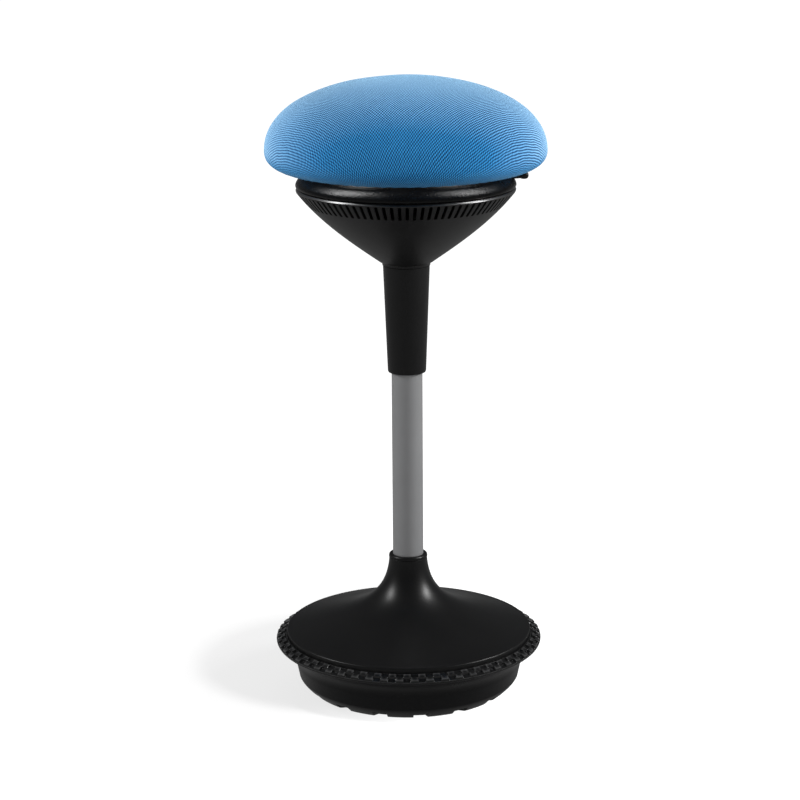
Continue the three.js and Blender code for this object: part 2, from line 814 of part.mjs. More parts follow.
const grip_bore = lever_rod_radius + assembly_gap;
const grip_mouth = [lever_grip_radius - grip_wall / 2, grip_start];
const grip_nose = [lever_grip_radius, lever_tip_reach - lever_grip_radius / 2];
const grip = revolve([
  [grip_bore, grip_start],
  grip_mouth,
  ...bend(
    short_curve, grip_mouth, [lever_grip_radius, grip_start],
    [lever_grip_radius, grip_start + lever_grip_radius],
  ),
  grip_nose,
  ...bend(
    middle_curve, grip_nose, [lever_grip_radius, lever_tip_reach],
    [lever_grip_radius / 2, lever_tip_reach],
  ),
  [0, lever_tip_reach],
  [0, lever_tip_reach - grip_wall],
  [grip_bore, lever_tip_reach - grip_wall],
], small_segments);
place(asMesh('lever_grip', alongX(grip), finishes.plastic()));

// Seat board: the plywood disc inside the cushion, bolted through to the seat plate

const board_top = board_bottom + board_thickness;
const tnut_top = board_top - assembly_gap;
const tnut_barrel_bottom = tnut_top - tnut_length;
const collar_screw_places = circlePlaces(collar_screw_circle);
const collar_screw_reach = board_bottom + board_thickness / 2;
let board = disc(board_radius, board_bottom, board_top, round_segments);
board = drilled(board, plate_bolt_places, tnut_barrel_radius + assembly_gap, board_bottom - cut_overrun, board_top);
board = drilled(
  board, plate_bolt_places, tnut_flange_radius + assembly_gap,
  tnut_top - tnut_flange_thickness - assembly_gap, board_top + cut_overrun,
);
board = drilled(
  board, collar_screw_places, screw_radius + assembly_gap,
  board_bottom - cut_overrun, collar_screw_reach + assembly_gap,
);
place(asMesh('seat_board', board, finishes.plywood()));

const tnut = ring(
  bolt_radius + assembly_gap, tnut_barrel_radius, tnut_barrel_bottom, tnut_top, fastener_segments,
).add(ring(
  bolt_radius + assembly_gap, tnut_flange_radius, tnut_top - tnut_flange_thickness, tnut_top, fastener_segments,
));
place(...fixedCopies('tee_nut', tnut, plate_bolt_places, finishes.zinc));

const plate_bolt_head_top = pan_flange_bottom - assembly_gap;
const plate_bolt = prism(
  hexagon(bolt_head_radius), plate_bolt_head_top - bolt_head_height, plate_bolt_head_top,
).add(disc(bolt_radius, plate_bolt_head_top - bolt_head_height / 2, tnut_top - assembly_gap, fastener_segments));
place(...fixedCopies('plate_bolt', plate_bolt, plate_bolt_places, finishes.zinc));

// Collar: the rolled rim under the seat, screwed to the board and slotted for the lever

const collar_flange_top = board_bottom - assembly_gap;
const collar_flange_bottom = collar_flange_top - collar_wall;
const collar_flange_inner = 2 * collar_screw_circle - collar_upstand_radius;
const collar_bead_centre = collar_radius - collar_bead_radius;
const collar_edge_height = cone_top_height + collar_groove;
const collar_edge_radius = cone_top_radius - collar_groove;
const collar_shoulder_height = collar_widest_height + collar_bead_radius;
const collar_inner_bead = collar_bead_radius - collar_wall;
const collar_edge_angle = Math.asin((collar_edge_height - collar_widest_height) / collar_bead_radius);
const collar_spigot_radius = collar_edge_radius - cone_wall * 2;
const bead_turn_share = 0.45;
const bead_top_angle = Math.PI * bead_turn_share;
const bead_top = [
  collar_bead_centre + collar_bead_radius * Math.cos(bead_top_angle),
  collar_widest_height + collar_bead_radius * Math.sin(bead_top_angle),
];
let collar_ring = revolve([
  [collar_spigot_radius, collar_edge_height - collar_wall],
  [collar_edge_radius - cone_wall, collar_edge_height],
  [collar_bead_centre + collar_bead_radius * Math.cos(collar_edge_angle), collar_edge_height],
  ...arc(
    long_curve, collar_bead_centre, collar_widest_height, collar_bead_radius,
    collar_edge_angle, bead_top_angle,
  ),
  ...bend(
    short_curve, bead_top,
    [collar_upstand_radius, collar_shoulder_height + collar_wall / 2],
    [collar_upstand_radius, collar_shoulder_height + collar_wall * 2],
  ),
  [collar_upstand_radius, collar_flange_top],
  [collar_flange_inner, collar_flange_top],
  [collar_flange_inner, collar_flange_bottom],
  [collar_upstand_radius - collar_wall, collar_flange_bottom],
  [collar_upstand_radius - collar_wall, collar_shoulder_height],
  ...arc(
    middle_curve, collar_bead_centre, collar_widest_height, collar_inner_bead,
    bead_top_angle, 0,
  ),
  [collar_spigot_radius, collar_edge_height],
], round_segments);
collar_ring = collar_ring.subtract(block(
  collar_flange_inner - cut_overrun, collar_bead_centre + collar_bead_radius,
  -lever_slot_half, lever_slot_half,
  lever_height - lever_grip_radius - assembly_gap * 2, collar_flange_top + cut_overrun,
));
collar_ring = drilled(
  collar_ring, collar_screw_places, screw_radius + assembly_gap, collar_flange_bottom - cut_overrun, board_bottom,
);
place(asMesh('rim_collar', collar_ring, finishes.plastic()));

const collar_screw_head_top = collar_flange_bottom - assembly_gap;
const collar_screw = disc(
  screw_head_radius, collar_screw_head_top - screw_head_height, collar_screw_head_top, fastener_segments,
).add(disc(screw_radius, collar_screw_head_top - screw_head_height / 2, collar_screw_reach, fastener_segments));
place(...fixedCopies('collar_screw', collar_screw, collar_screw_places, finishes.zinc));

// Vented cone: a thin bowed funnel with a row of slots just under its rim

const bow_shares = { low_out: 0.36, low_up: 0.29, high_out: 0.73, high_up: 0.6 };
const bow_inset_shares = { low: 0.8, rise: 0.6, high: 1.35 };
function bow(low, high) {
  const reach = high[0] - low[0];
  const rise = high[1] - low[1];
  return [
    [low[0] + reach * bow_shares.low_out, low[1] + rise * bow_shares.low_up],
    [low[0] + reach * bow_shares.high_out, low[1] + rise * bow_shares.high_up],
  ];
}
const cone_neck_bore = cone_neck_radius - cone_wall;
const cone_outer_low = [cone_base_radius, cone_base_height];
const cone_outer_high = [cone_top_radius, cone_top_height];
const cone_inner_low = [
  cone_base_radius - cone_wall * bow_inset_shares.low,
  cone_base_height + cone_wall * bow_inset_shares.rise,
];
const cone_inner_high = [cone_top_radius - cone_wall * bow_inset_shares.high, cone_top_height];
const cone_neck_foot = [cone_neck_radius, cone_neck_height];
let vented_cone = revolve([
  [cone_neck_bore, cone_neck_height],
  cone_neck_foot,
  ...bend(
    short_curve, cone_neck_foot, [cone_neck_radius, (cone_neck_height + cone_base_height) / 2],
    cone_outer_low,
  ),
  ...bend(long_curve, cone_outer_low, ...bow(cone_outer_low, cone_outer_high), cone_outer_high),
  cone_inner_high,
  ...bend(middle_curve, cone_inner_high, ...bow(cone_inner_low, cone_inner_high).reverse(), cone_inner_low),
  [cone_neck_bore, cone_neck_height + cone_wall * 2],
], vent_segments);
const vent_top = cone_top_height - vent_top_drop;
const vent_bottom = vent_top - vent_height;
const vent_reach = cone_top_radius - vent_height * 2;
const vent = block(
  vent_reach, cone_top_radius + cut_overrun,
  -vent_width / 2, vent_width / 2,
  vent_bottom, vent_top,
);
const vents = [];
for (let i = 0; i < vent_count; i += 1) vents.push(turned(vent, (360 * (i + 0.5)) / vent_count));
vented_cone = turned(vented_cone.subtract(joined(vents)), vent_turn_degrees);
place(asMesh('vented_cone', vented_cone, finishes.plastic()));

// Sleeve: the tapered tube that hangs from the cone's neck and slides down over the column

const sleeve_top = cone_neck_height - assembly_gap;
const sleeve_bottom_height = sleeve_top - sleeve_length;
const sleeve_spigot_radius = cone_neck_bore - assembly_gap;
const sleeve_spigot_wall = 2;
const sleeve_edge_start = [sleeve_bottom_radius - sleeve_edge_round / 2, sleeve_bottom_height];
const sleeve = revolve([
  [sleeve_bore, sleeve_bottom_height],
  sleeve_edge_start,
  ...bend(
    middle_curve, sleeve_edge_start, [sleeve_bottom_radius, sleeve_bottom_height],
    [sleeve_bottom_radius, sleeve_bottom_height + sleeve_edge_round],
  ),
  [sleeve_top_radius, sleeve_top],
  [sleeve_spigot_radius, sleeve_top],
  [sleeve_spigot_radius, sleeve_top + sleeve_spigot],
  [sleeve_spigot_radius - sleeve_spigot_wall, sleeve_top + sleeve_spigot],
  [sleeve_spigot_radius - sleeve_spigot_wall, sleeve_top],
], column_segments);
place(asMesh('column_sleeve', sleeve, finishes.plastic()));

// Cushion: a crowned foam pad in a stretched mesh cover that turns in under the seat

const crown_shares = { flat: 0.57, shoulder: 0.6 };
const under_shares = { side: 0.81, flat: 0.39 };
const recess_radius = collar_upstand_radius + recess_clearance;
const recess_top = board_top + assembly_gap;
function seatOutline(inset, under_steps, crown_steps) {
  const top = seat_top - inset;
  const radius = seat_radius - inset;
  const bottom = seat_underside + inset;
  const crown_rise = top - seat_widest_height;
  const under_drop = seat_widest_height - bottom;
  const lip = [seat_lip_radius, bottom];
  const side = [radius, seat_widest_height];
  return [
    [recess_radius, bottom],
    lip,
    ...bend(
      under_steps, lip,
      [seat_lip_radius + (radius - seat_lip_radius) * under_shares.flat, bottom],
      [radius, seat_widest_height - under_drop * under_shares.side],
      side,
    ),
    ...bend(
      crown_steps, side,
      [radius, seat_widest_height + crown_rise * crown_shares.shoulder],
      [radius * crown_shares.flat, top],
      [0, top],
    ),
  ];
}
const lever_recess = block(
  board_radius, lever_recess_reach,
  -lever_recess_width / 2, lever_recess_width / 2,
  seat_underside - cut_overrun, seat_underside + lever_recess_height,
);
const foam_recess = lever_recess.add(block(
  board_radius, lever_recess_reach + cover_thickness + assembly_gap,
  -lever_recess_width / 2 - cover_thickness - assembly_gap, lever_recess_width / 2 + cover_thickness + assembly_gap,
  seat_underside - cut_overrun, seat_underside + lever_recess_height + cover_thickness + assembly_gap,
));

const foam_inset = cover_thickness + assembly_gap * 2;
const foam = revolve([
  ...seatOutline(foam_inset, short_curve, middle_curve),
  [0, recess_top],
  [recess_radius, recess_top],
], round_segments).subtract(foam_recess);
place(asMesh('foam_pad', foam, finishes.foam()));

const cover_outline = [
  ...seatOutline(0, long_curve, long_curve + short_curve),
  ...seatOutline(cover_thickness, short_curve, middle_curve).reverse(),
];
const pocket_skin = block(
  board_radius + recess_clearance, lever_recess_reach + cover_thickness,
  -lever_recess_width / 2 - cover_thickness, lever_recess_width / 2 + cover_thickness,
  seat_underside, seat_underside + lever_recess_height + cover_thickness,
).intersect(ring(recess_radius, seat_radius, seat_underside, seat_widest_height, round_segments));
const cover = revolve(cover_outline, round_segments).add(pocket_skin).subtract(lever_recess);
place(asMesh('seat_cover', cover, finishes.fabric()));

export default stool;
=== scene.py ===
import math
import random

import bpy
from mathutils import Matrix, Vector, noise


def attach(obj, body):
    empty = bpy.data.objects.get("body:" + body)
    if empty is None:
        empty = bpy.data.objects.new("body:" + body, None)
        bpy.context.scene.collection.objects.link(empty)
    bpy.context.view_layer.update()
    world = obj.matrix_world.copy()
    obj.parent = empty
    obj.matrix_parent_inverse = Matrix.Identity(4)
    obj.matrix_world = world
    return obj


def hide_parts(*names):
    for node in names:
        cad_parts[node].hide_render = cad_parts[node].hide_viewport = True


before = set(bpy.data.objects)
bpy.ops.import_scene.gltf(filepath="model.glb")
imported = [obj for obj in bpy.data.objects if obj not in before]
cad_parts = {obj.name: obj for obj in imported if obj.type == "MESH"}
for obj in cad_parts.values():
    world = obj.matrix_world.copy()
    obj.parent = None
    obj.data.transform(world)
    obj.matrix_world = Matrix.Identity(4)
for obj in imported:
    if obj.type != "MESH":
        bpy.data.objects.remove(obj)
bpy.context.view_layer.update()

# Rubber foot: a moulded bowl with a domed, lugged tread and a wide flange.
# Black rubber with fine specks; the flange carries a raised zigzag band for grip,
# and the shell above drops into the step inside it.

MM = 0.001
TURN = 2 * math.pi
land_radius, dome_radius, heel_radius = 45, 468, 124.8
bowl_radius, heel_height = 138.5, 30
wall_radius, wall_height = 142, 46
flange_radius, flange_height, flange_lip = 166.5, 76, 4
flange_inner_radius, flange_inner_height = 153.9, 82.5
cavity_radius, foot_floor = 133, 17
lugs, lug_gap_share, groove_depth = 16, 0.35, 2.8
groove_inner, groove_outer = 66, 132.5
lug_turn_shift, band_turn_shift = math.radians(-4.8), math.radians(0.8)
band_periods, band_height = 56, 2.1
band_inner, band_outer, band_plate = 155.2, 165.4, 5.5
rubber_colour = (0.0024, 0.0024, 0.0026, 1)
rubber_speck_colour = (0.03, 0.031, 0.034, 1)


def curve(start, *pulls, steps=12):
    """Points of a quadratic or cubic curve from start, without start itself."""
    knots, points = [Vector(p) for p in (start, *pulls)], []
    for i in range(1, steps + 1):
        row = knots
        while len(row) > 1:
            row = [a.lerp(b, i / steps) for a, b in zip(row, row[1:])]
        points.append(tuple(row[0]))
    return points


def turned(outline, angles, reshape=None):
    """Turns an outline of (radius, height) in millimetres round the column's axis."""
    points, rings, faces = [], [], []
    for row, (radius, height) in enumerate(outline):
        if radius < MM:
            rings.append([len(points)] * len(angles))
            points.append(Vector((0, 0, height)) * MM)
            continue
        rings.append(range(len(points), len(points) + len(angles)))
        for angle in angles:
            place = reshape(row, angle, radius, height) if reshape else (angle, radius, height)
            turn, reach, rise = place
            points.append(Vector((reach * math.cos(turn), reach * math.sin(turn), rise)) * MM)
    closed = [(rings[-1], rings[0])] if outline[0][0] > MM else []
    for low, high in list(zip(rings, rings[1:])) + closed:
        for i in range(len(angles)):
            j = (i + 1) % len(angles)
            corners = tuple(dict.fromkeys((low[i], low[j], high[j], high[i])))
            if len(corners) > 2:
                faces.append(corners)
    return points, faces


def even(count):
    """Evenly spread angles round the axis."""
    return [TURN * i / count for i in range(count)]


def piece(name, *shells, crease=34):
    """One object from closed shells, smooth except at creases sharper than that angle."""
    points, faces = [], []
    for shell_points, shell_faces in shells:
        faces += [tuple(i + len(points) for i in face) for face in shell_faces]
        points += shell_points
    mesh = bpy.data.meshes.new(name)
    mesh.from_pydata(points, [], faces)
    mesh.shade_smooth()
    mesh.set_sharp_from_angle(angle=math.radians(crease))
    made = bpy.data.objects.new(name, mesh)
    bpy.context.scene.collection.objects.link(made)
    return made


def effect(name, inputs, outputs):
    """A node group with named sockets, and its input and output nodes."""
    group = bpy.data.node_groups.new(name, "ShaderNodeTree")
    for socket, kind in inputs.items():
        group.interface.new_socket(socket, in_out="INPUT", socket_type=kind)
    for socket, kind in outputs.items():
        group.interface.new_socket(socket, in_out="OUTPUT", socket_type=kind)
    return group, group.nodes.new("NodeGroupInput"), group.nodes.new("NodeGroupOutput")


def node(tree, kind, links=(), **settings):
    """A node with its settings made and its inputs linked or filled."""
    made = tree.nodes.new(kind)
    for key, value in settings.items():
        setattr(made, key, value)
    for socket, value in dict(links).items():
        if isinstance(value, bpy.types.NodeSocket):
            tree.links.new(value, made.inputs[socket])
        else:
            made.inputs[socket].default_value = value
    return made


# Fine moulded grain: small bumps, and a broad mottle that changes gloss and tone a little.
grain, grain_in, grain_out = effect(
    "moulded_grain",
    {"Place": "NodeSocketVector", "Grain Size": "NodeSocketFloat", "Mottle Size": "NodeSocketFloat"},
    {"Height": "NodeSocketFloat", "Mottle": "NodeSocketFloat", "Speck": "NodeSocketFloat"},
)
fine_rate = node(grain, "ShaderNodeMath", {0: 1.0, 1: grain_in.outputs["Grain Size"]}, operation="DIVIDE")
broad_rate = node(grain, "ShaderNodeMath", {0: 1.0, 1: grain_in.outputs["Mottle Size"]}, operation="DIVIDE")
fine = node(grain, "ShaderNodeTexNoise", {
    "Vector": grain_in.outputs["Place"], "Scale": fine_rate.outputs[0], "Detail": 2.0, "Roughness": 0.6,
})
broad = node(grain, "ShaderNodeTexNoise", {
    "Vector": grain_in.outputs["Place"], "Scale": broad_rate.outputs[0], "Detail": 4.0, "Roughness": 0.55,
})
speck = node(grain, "ShaderNodeMapRange", {
    "Value": fine.outputs["Fac"], "From Min": 0.62, "From Max": 0.74, "To Min": 0.0, "To Max": 1.0,
})
grain.links.new(fine.outputs["Fac"], grain_out.inputs["Height"])
grain.links.new(broad.outputs["Fac"], grain_out.inputs["Mottle"])
grain.links.new(speck.outputs["Result"], grain_out.inputs["Speck"])

# Edge wear and glints: a mask along convex edges and corners, broken up by noise; real wear on metal and plastic,
# painted highlight on the rubber foot.
wear, wear_in, wear_out = effect(
    "edge_wear_and_glints",
    {"Place": "NodeSocketVector", "Patch Size": "NodeSocketFloat", "Reach": "NodeSocketFloat"},
    {"Mask": "NodeSocketFloat"},
)
pointed = node(wear, "ShaderNodeNewGeometry")
edge_low = node(wear, "ShaderNodeMath", {0: 0.62, 1: wear_in.outputs["Reach"]}, operation="SUBTRACT")
edge = node(wear, "ShaderNodeMapRange", {
    "Value": pointed.outputs["Pointiness"], "From Min": edge_low.outputs[0], "From Max": 0.66,
    "To Min": 0.0, "To Max": 1.0,
})
patch_rate = node(wear, "ShaderNodeMath", {0: 1.0, 1: wear_in.outputs["Patch Size"]}, operation="DIVIDE")
patches = node(wear, "ShaderNodeTexNoise", {
    "Vector": wear_in.outputs["Place"], "Scale": patch_rate.outputs[0], "Detail": 3.0,
})
wear_and_glint_mask = node(wear, "ShaderNodeMath", {
    0: edge.outputs["Result"], 1: patches.outputs["Fac"],
}, operation="MULTIPLY")
wear.links.new(wear_and_glint_mask.outputs[0], wear_out.inputs["Mask"])


def grained(name, low_colour, high_colour, roughness, gloss_change, grain_size, grain_depth,
            metallic=0.0, specular=0.5, wear_and_glint_colour=None, wear_and_glint_reach=0.06, speck_share=0.0):
    """A plain material with moulded or cast grain and a slightly uneven tone and gloss."""
    material = bpy.data.materials.new(name)
    material.use_nodes = True
    tree = material.node_tree
    shader = tree.nodes["Principled BSDF"]
    place = node(tree, "ShaderNodeTexCoord").outputs["Object"]
    surface = node(tree, "ShaderNodeGroup", node_tree=grain)
    tree.links.new(place, surface.inputs["Place"])
    surface.inputs["Grain Size"].default_value = grain_size
    surface.inputs["Mottle Size"].default_value = 0.045
    colour = tree.nodes.new("ShaderNodeMix")
    colour.data_type = "RGBA"
    tree.links.new(surface.outputs["Mottle"], colour.inputs["Factor"])
    colour.inputs["A"].default_value = low_colour
    colour.inputs["B"].default_value = high_colour
    result = colour.outputs["Result"]
    if speck_share:
        share = node(tree, "ShaderNodeMath", {0: surface.outputs["Speck"], 1: speck_share}, operation="MULTIPLY")
        specked = tree.nodes.new("ShaderNodeMix")
        specked.data_type = "RGBA"
        tree.links.new(share.outputs[0], specked.inputs["Factor"])
        tree.links.new(result, specked.inputs["A"])
        specked.inputs["B"].default_value = rubber_speck_colour
        result = specked.outputs["Result"]
    # The edge colour: real wear on metal and plastic, painted highlight (glints) on the rubber foot.
    if wear_and_glint_colour:
        edges = node(tree, "ShaderNodeGroup", node_tree=wear)
        tree.links.new(place, edges.inputs["Place"])
        edges.inputs["Patch Size"].default_value = 0.008
        edges.inputs["Reach"].default_value = wear_and_glint_reach
        worn_and_glinting = tree.nodes.new("ShaderNodeMix")
        worn_and_glinting.data_type = "RGBA"
        tree.links.new(edges.outputs["Mask"], worn_and_glinting.inputs["Factor"])
        tree.links.new(result, worn_and_glinting.inputs["A"])
        worn_and_glinting.inputs["B"].default_value = wear_and_glint_colour
        result = worn_and_glinting.outputs["Result"]
    tree.links.new(result, shader.inputs["Base Color"])
    gloss = node(tree, "ShaderNodeMapRange", {
        "Value": surface.outputs["Mottle"], "From Min": 0.3, "From Max": 0.7,
        "To Min": roughness - gloss_change, "To Max": roughness + gloss_change,
    })
    evenness = gloss.outputs["Result"]
    if wear_and_glint_colour:
        # Handling polishes the edges.
        polished = node(tree, "ShaderNodeMath", {
            0: edges.outputs["Mask"], 1: -0.25, 2: evenness,
        }, operation="MULTIPLY_ADD")
        evenness = polished.outputs[0]
    tree.links.new(evenness, shader.inputs["Roughness"])
    shader.inputs["Metallic"].default_value = metallic
    shader.inputs["Specular IOR Level"].default_value = specular
    bump = node(tree, "ShaderNodeBump", {"Height": surface.outputs["Height"], "Distance": grain_depth})
    bump.inputs["Strength"].default_value = 0.6
    tree.links.new(bump.outputs["Normal"], shader.inputs["Normal"])
    return material


def dress(made, material):
    """Gives a piece its one material."""
    made.data.materials.clear()
    made.data.materials.append(material)
    return made


# The foot's light grey edge colour is painted highlight: it stands in for glints on the rims of the band's plates, and
# lightens every sharp edge of the foot.
rubber = grained(
    "foot_rubber", rubber_colour, (0.0034, 0.0034, 0.0037, 1), 0.32, 0.05, 0.0009, 0.00012,
    specular=0.24, wear_and_glint_colour=(0.26, 0.261, 0.265, 1), wear_and_glint_reach=0.1, speck_share=0.5,
)
# The band of plates is moulded smooth and shinier than the bowl.
rubber_tree = rubber.node_tree
rubber_shader = rubber_tree.nodes["Principled BSDF"]
place = node(rubber_tree, "ShaderNodeSeparateXYZ", {0: node(rubber_tree, "ShaderNodeTexCoord").outputs["Object"]})
band_shine = node(rubber_tree, "ShaderNodeMapRange", {
    "Value": place.outputs["Z"], "From Min": 0.0752, "From Max": 0.0758, "To Min": 0.0, "To Max": 0.9,
})
rubber_tree.links.new(band_shine.outputs["Result"], rubber_shader.inputs["Coat Weight"])
rubber_shader.inputs["Coat Roughness"].default_value = 0.18

dome_centre = math.sqrt(dome_radius ** 2 - land_radius ** 2)


def dome(radius):
    return dome_centre - math.sqrt(dome_radius ** 2 - radius ** 2)


heel_start = (heel_radius, dome(heel_radius))
heel_pull = (bowl_radius - heel_radius) * 0.1
cove_reach, cove_rise = flange_radius - flange_lip - wall_radius, flange_height - flange_lip - wall_height
lip_start = (flange_radius - flange_lip, flange_height - flange_lip)
dome_rows = [land_radius, 52, 59, groove_inner - 0.3, groove_inner + 0.3, 76, 88, 100, 112, 119, heel_radius]
heel_rows = curve(
    heel_start, (heel_radius + heel_pull, heel_start[1] + heel_pull * heel_radius / (dome_centre - heel_start[1])),
    (bowl_radius, heel_height - (heel_height - heel_start[1]) * 0.225), (bowl_radius, heel_height), steps=22,
)
groove_end = min(range(len(heel_rows)), key=lambda i: abs(heel_rows[i][0] - groove_outer))
bowl_outline = [(0, 0), (land_radius - 8, 0)] + [(r, dome(r)) for r in dome_rows] + heel_rows + [
    (wall_radius - 0.7, wall_height - 2.5), (wall_radius, wall_height),
] + curve(
    (wall_radius, wall_height),
    (wall_radius + cove_reach * 0.06, wall_height + cove_rise * 0.4),
    (wall_radius + cove_reach * 0.42, wall_height + cove_rise * 0.72), lip_start, steps=14,
) + [
    (flange_radius - 7, flange_height - 2), (cavity_radius + 2, flange_height),
    (cavity_radius, flange_height - 3), (cavity_radius, heel_height + foot_floor),
] + curve(
    (cavity_radius, heel_height + foot_floor), (cavity_radius, foot_floor), (111, foot_floor), steps=8,
) + [(0, foot_floor)]
groove_rows = range(6, 2 + len(dome_rows) + groove_end + 1)
lug_turn = TURN / lugs
gap_half = lug_turn * lug_gap_share / 2
wall_turn = 0.0028
lug_angles = []
for lug in range(lugs):
    start = lug * lug_turn
    steps = [-gap_half - wall_turn, -gap_half, -gap_half / 2, 0, gap_half / 2, gap_half, gap_half + wall_turn]
    rest = lug_turn - 2 * gap_half - 2 * wall_turn
    steps += [gap_half + wall_turn + rest * i / 9 for i in range(1, 9)]
    lug_angles += [start + lug_turn / 2 + lug_turn_shift + step for step in steps]


def grooved(row, angle, radius, height):
    """Sinks the tread between the lugs, a touch more towards its outer end."""
    offset = (angle - lug_turn_shift) % lug_turn - lug_turn / 2
    if row in groove_rows and abs(offset) < gap_half + wall_turn / 2:
        undercut = groove_depth * 0.35 if radius > heel_radius else 0
        return angle, radius - undercut, height + groove_depth
    return angle, radius, height


slope = Vector((flange_inner_radius - flange_radius, flange_inner_height - flange_height)).normalized()
slope_normal = Vector((slope.y, -slope.x))
plate_edges = [band_outer, band_inner + band_plate, band_outer - band_plate, band_inner]
slope_rows = []
for place in plate_edges:
    slope_rows += [place + step for step in (0.45, 0.15, -0.15, -0.45)]
slope_rows += [163.2, 157.4]
slope_rows.sort(reverse=True)
slope_reach = abs(flange_inner_radius - flange_radius)


def on_slope(radius):
    share = (flange_radius - radius) / slope_reach
    return radius, flange_height + share * (flange_inner_height - flange_height)


ring_outline = [(158, flange_height - 4.4), (160.5, flange_height - 4.2), lip_start]
ring_outline += curve(lip_start, (flange_radius, flange_height - flange_lip), (flange_radius, flange_height), steps=7)
first_slope_row = len(ring_outline)
ring_outline += [on_slope(radius) for radius in slope_rows]
ring_outline += [
    on_slope(flange_inner_radius + 0.35), (flange_inner_radius, flange_inner_height - 0.25),
    (153.7, 81.6), (153.6, 79.5), (cavity_radius + 0.2, 79.5), (cavity_radius + 0.2, 75), (150, 73.5),
]
period = TURN / band_periods
joint_turn = 0.5 / 160
band_angles = []
for i in range(band_periods * 2):
    middle = i * period / 2 + band_turn_shift
    band_angles += [middle + joint_turn * step for step in (-1, -0.35, 0.35, 1)]
    band_angles += [middle + period / 6, middle + period / 3]


def ramp(value, low, high):
    """0 below low, 1 above high, smooth between."""
    share = min(1.0, max(0.0, (value - low) / (high - low)))
    return share * share * (3 - 2 * share)


def plate(radius, low, high):
    return ramp(radius, low - 0.5, low + 0.5) * (1 - ramp(radius, high - 0.5, high + 0.5))


def zigzag(row, angle, radius, height):
    """Raises the band: plates by turns in the outer and the inner row, joined where they meet."""
    if not first_slope_row <= row < first_slope_row + len(slope_rows):
        return angle, radius, height
    phase = (angle - band_turn_shift) % period
    outer_share = ramp(phase, -joint_turn, joint_turn) - ramp(phase, period / 2 - joint_turn, period / 2 + joint_turn)
    if phase > period - joint_turn:
        outer_share = ramp(phase - period, -joint_turn, joint_turn)
    lift = outer_share * plate(radius, band_outer - band_plate, band_outer)
    lift += (1 - outer_share) * plate(radius, band_inner, band_inner + band_plate)
    lift = min(1.0, lift) * band_height
    return angle, radius + slope_normal.x * lift, height + slope_normal.y * lift


if slope_normal.y < 0:
    slope_normal = -slope_normal
foot = piece("foot", turned(bowl_outline, lug_angles, grooved), turned(ring_outline, band_angles, zigzag), crease=40)
dress(foot, rubber)
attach(foot, "base")
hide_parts("rubber_foot")

# Weight, base plate and their bolts: a cast-iron disc on the foot's floor, and the steel disc
# that the column is welded to, bolted through it. Four screws hold the foot on from below.
# The iron is rough from the sand mould, the plate is painted black, the bolts are zinc plated.

iron_colour, iron_light = (0.035, 0.036, 0.037, 1), (0.06, 0.058, 0.055, 1)
zinc_colour, zinc_light = (0.52, 0.53, 0.52, 1), (0.62, 0.62, 0.6, 1)
black_steel_colour, black_steel_light = (0.013, 0.0135, 0.015, 1), (0.02, 0.02, 0.022, 1)
bare_steel = (0.1, 0.1, 0.105, 1)


def coat(material, *names):
    """Gives solids of the frame their material."""
    for name in names:
        dress(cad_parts[name], material)


cast_iron = grained("cast_iron", iron_colour, iron_light, 0.72, 0.08, 0.0022, 0.0006, metallic=0.6)
zinc_steel = grained("zinc_steel", zinc_colour, zinc_light, 0.34, 0.07, 0.0012, 0.00003, metallic=1.0)
black_steel = grained(
    "black_steel", black_steel_colour, black_steel_light, 0.4, 0.06, 0.0012, 0.00005,
    metallic=0.3, wear_and_glint_colour=bare_steel,
)
coat(cast_iron, "base_weight")
coat(black_steel, "base_plate")
coat(zinc_steel, *[f"{kind}_{i}" for kind in ("weight_bolt", "foot_screw") for i in range(1, 5)])

# Base shell: the trumpet-shaped cover that stands in the foot's flange and hides the weight.
# Injection-moulded black plastic with a satin, finely eroded surface; its skirt clips inside the flange.

shell_edge_radius, shell_edge_height, shell_skirt, shell_wall = 153, 89, 9.2, 3
neck_radius, neck_height, neck_mouth = 23.8, 178, 181
plastic_colour, plastic_light = (0.005, 0.005, 0.0052, 1), (0.0062, 0.0062, 0.0064, 1)
plastic_worn = (0.022, 0.022, 0.024, 1)

satin_plastic = grained(
    "satin_plastic", plastic_colour, plastic_light, 0.35, 0.03, 0.0011, 0.00006,
    specular=0.35, wear_and_glint_colour=plastic_worn,
)


def flare(neck, brim):
    """The two pulls of the trumpet's curve between its neck and its brim."""
    reach, rise = brim[0] - neck[0], neck[1] - brim[1]
    return (neck[0] + reach * 0.04, neck[1] - rise * 0.6), (brim[0] - reach * 0.66, brim[1] + rise * 0.25)


brim = (shell_edge_radius - 2.2, shell_edge_height)
brim_side = (shell_edge_radius, shell_edge_height - 1.9)
under_brim = (shell_edge_radius - shell_wall, shell_edge_height - shell_wall)
neck_out, neck_in = (neck_radius, neck_height), (neck_radius - shell_wall, neck_height)
shell_outline = [
    (shell_edge_radius - shell_wall, shell_edge_height - shell_skirt),
    (shell_edge_radius, shell_edge_height - shell_skirt),
    brim_side,
] + curve(brim_side, (shell_edge_radius, shell_edge_height), brim, steps=6)
shell_outline += curve(brim, *reversed(flare(neck_out, brim)), neck_out, steps=46)
shell_outline += [
    (neck_radius, neck_mouth - 0.5), (neck_radius - 0.5, neck_mouth), (neck_radius - shell_wall, neck_mouth), neck_in,
]
shell_outline += curve(neck_in, *flare(neck_in, under_brim), under_brim, steps=30)
shell = dress(piece("trumpet_shell", turned(shell_outline, even(224))), satin_plastic)
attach(shell, "base")
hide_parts("base_shell")

# Neck ring: a push-in grommet of black plastic in the shell's mouth, which centres the column.

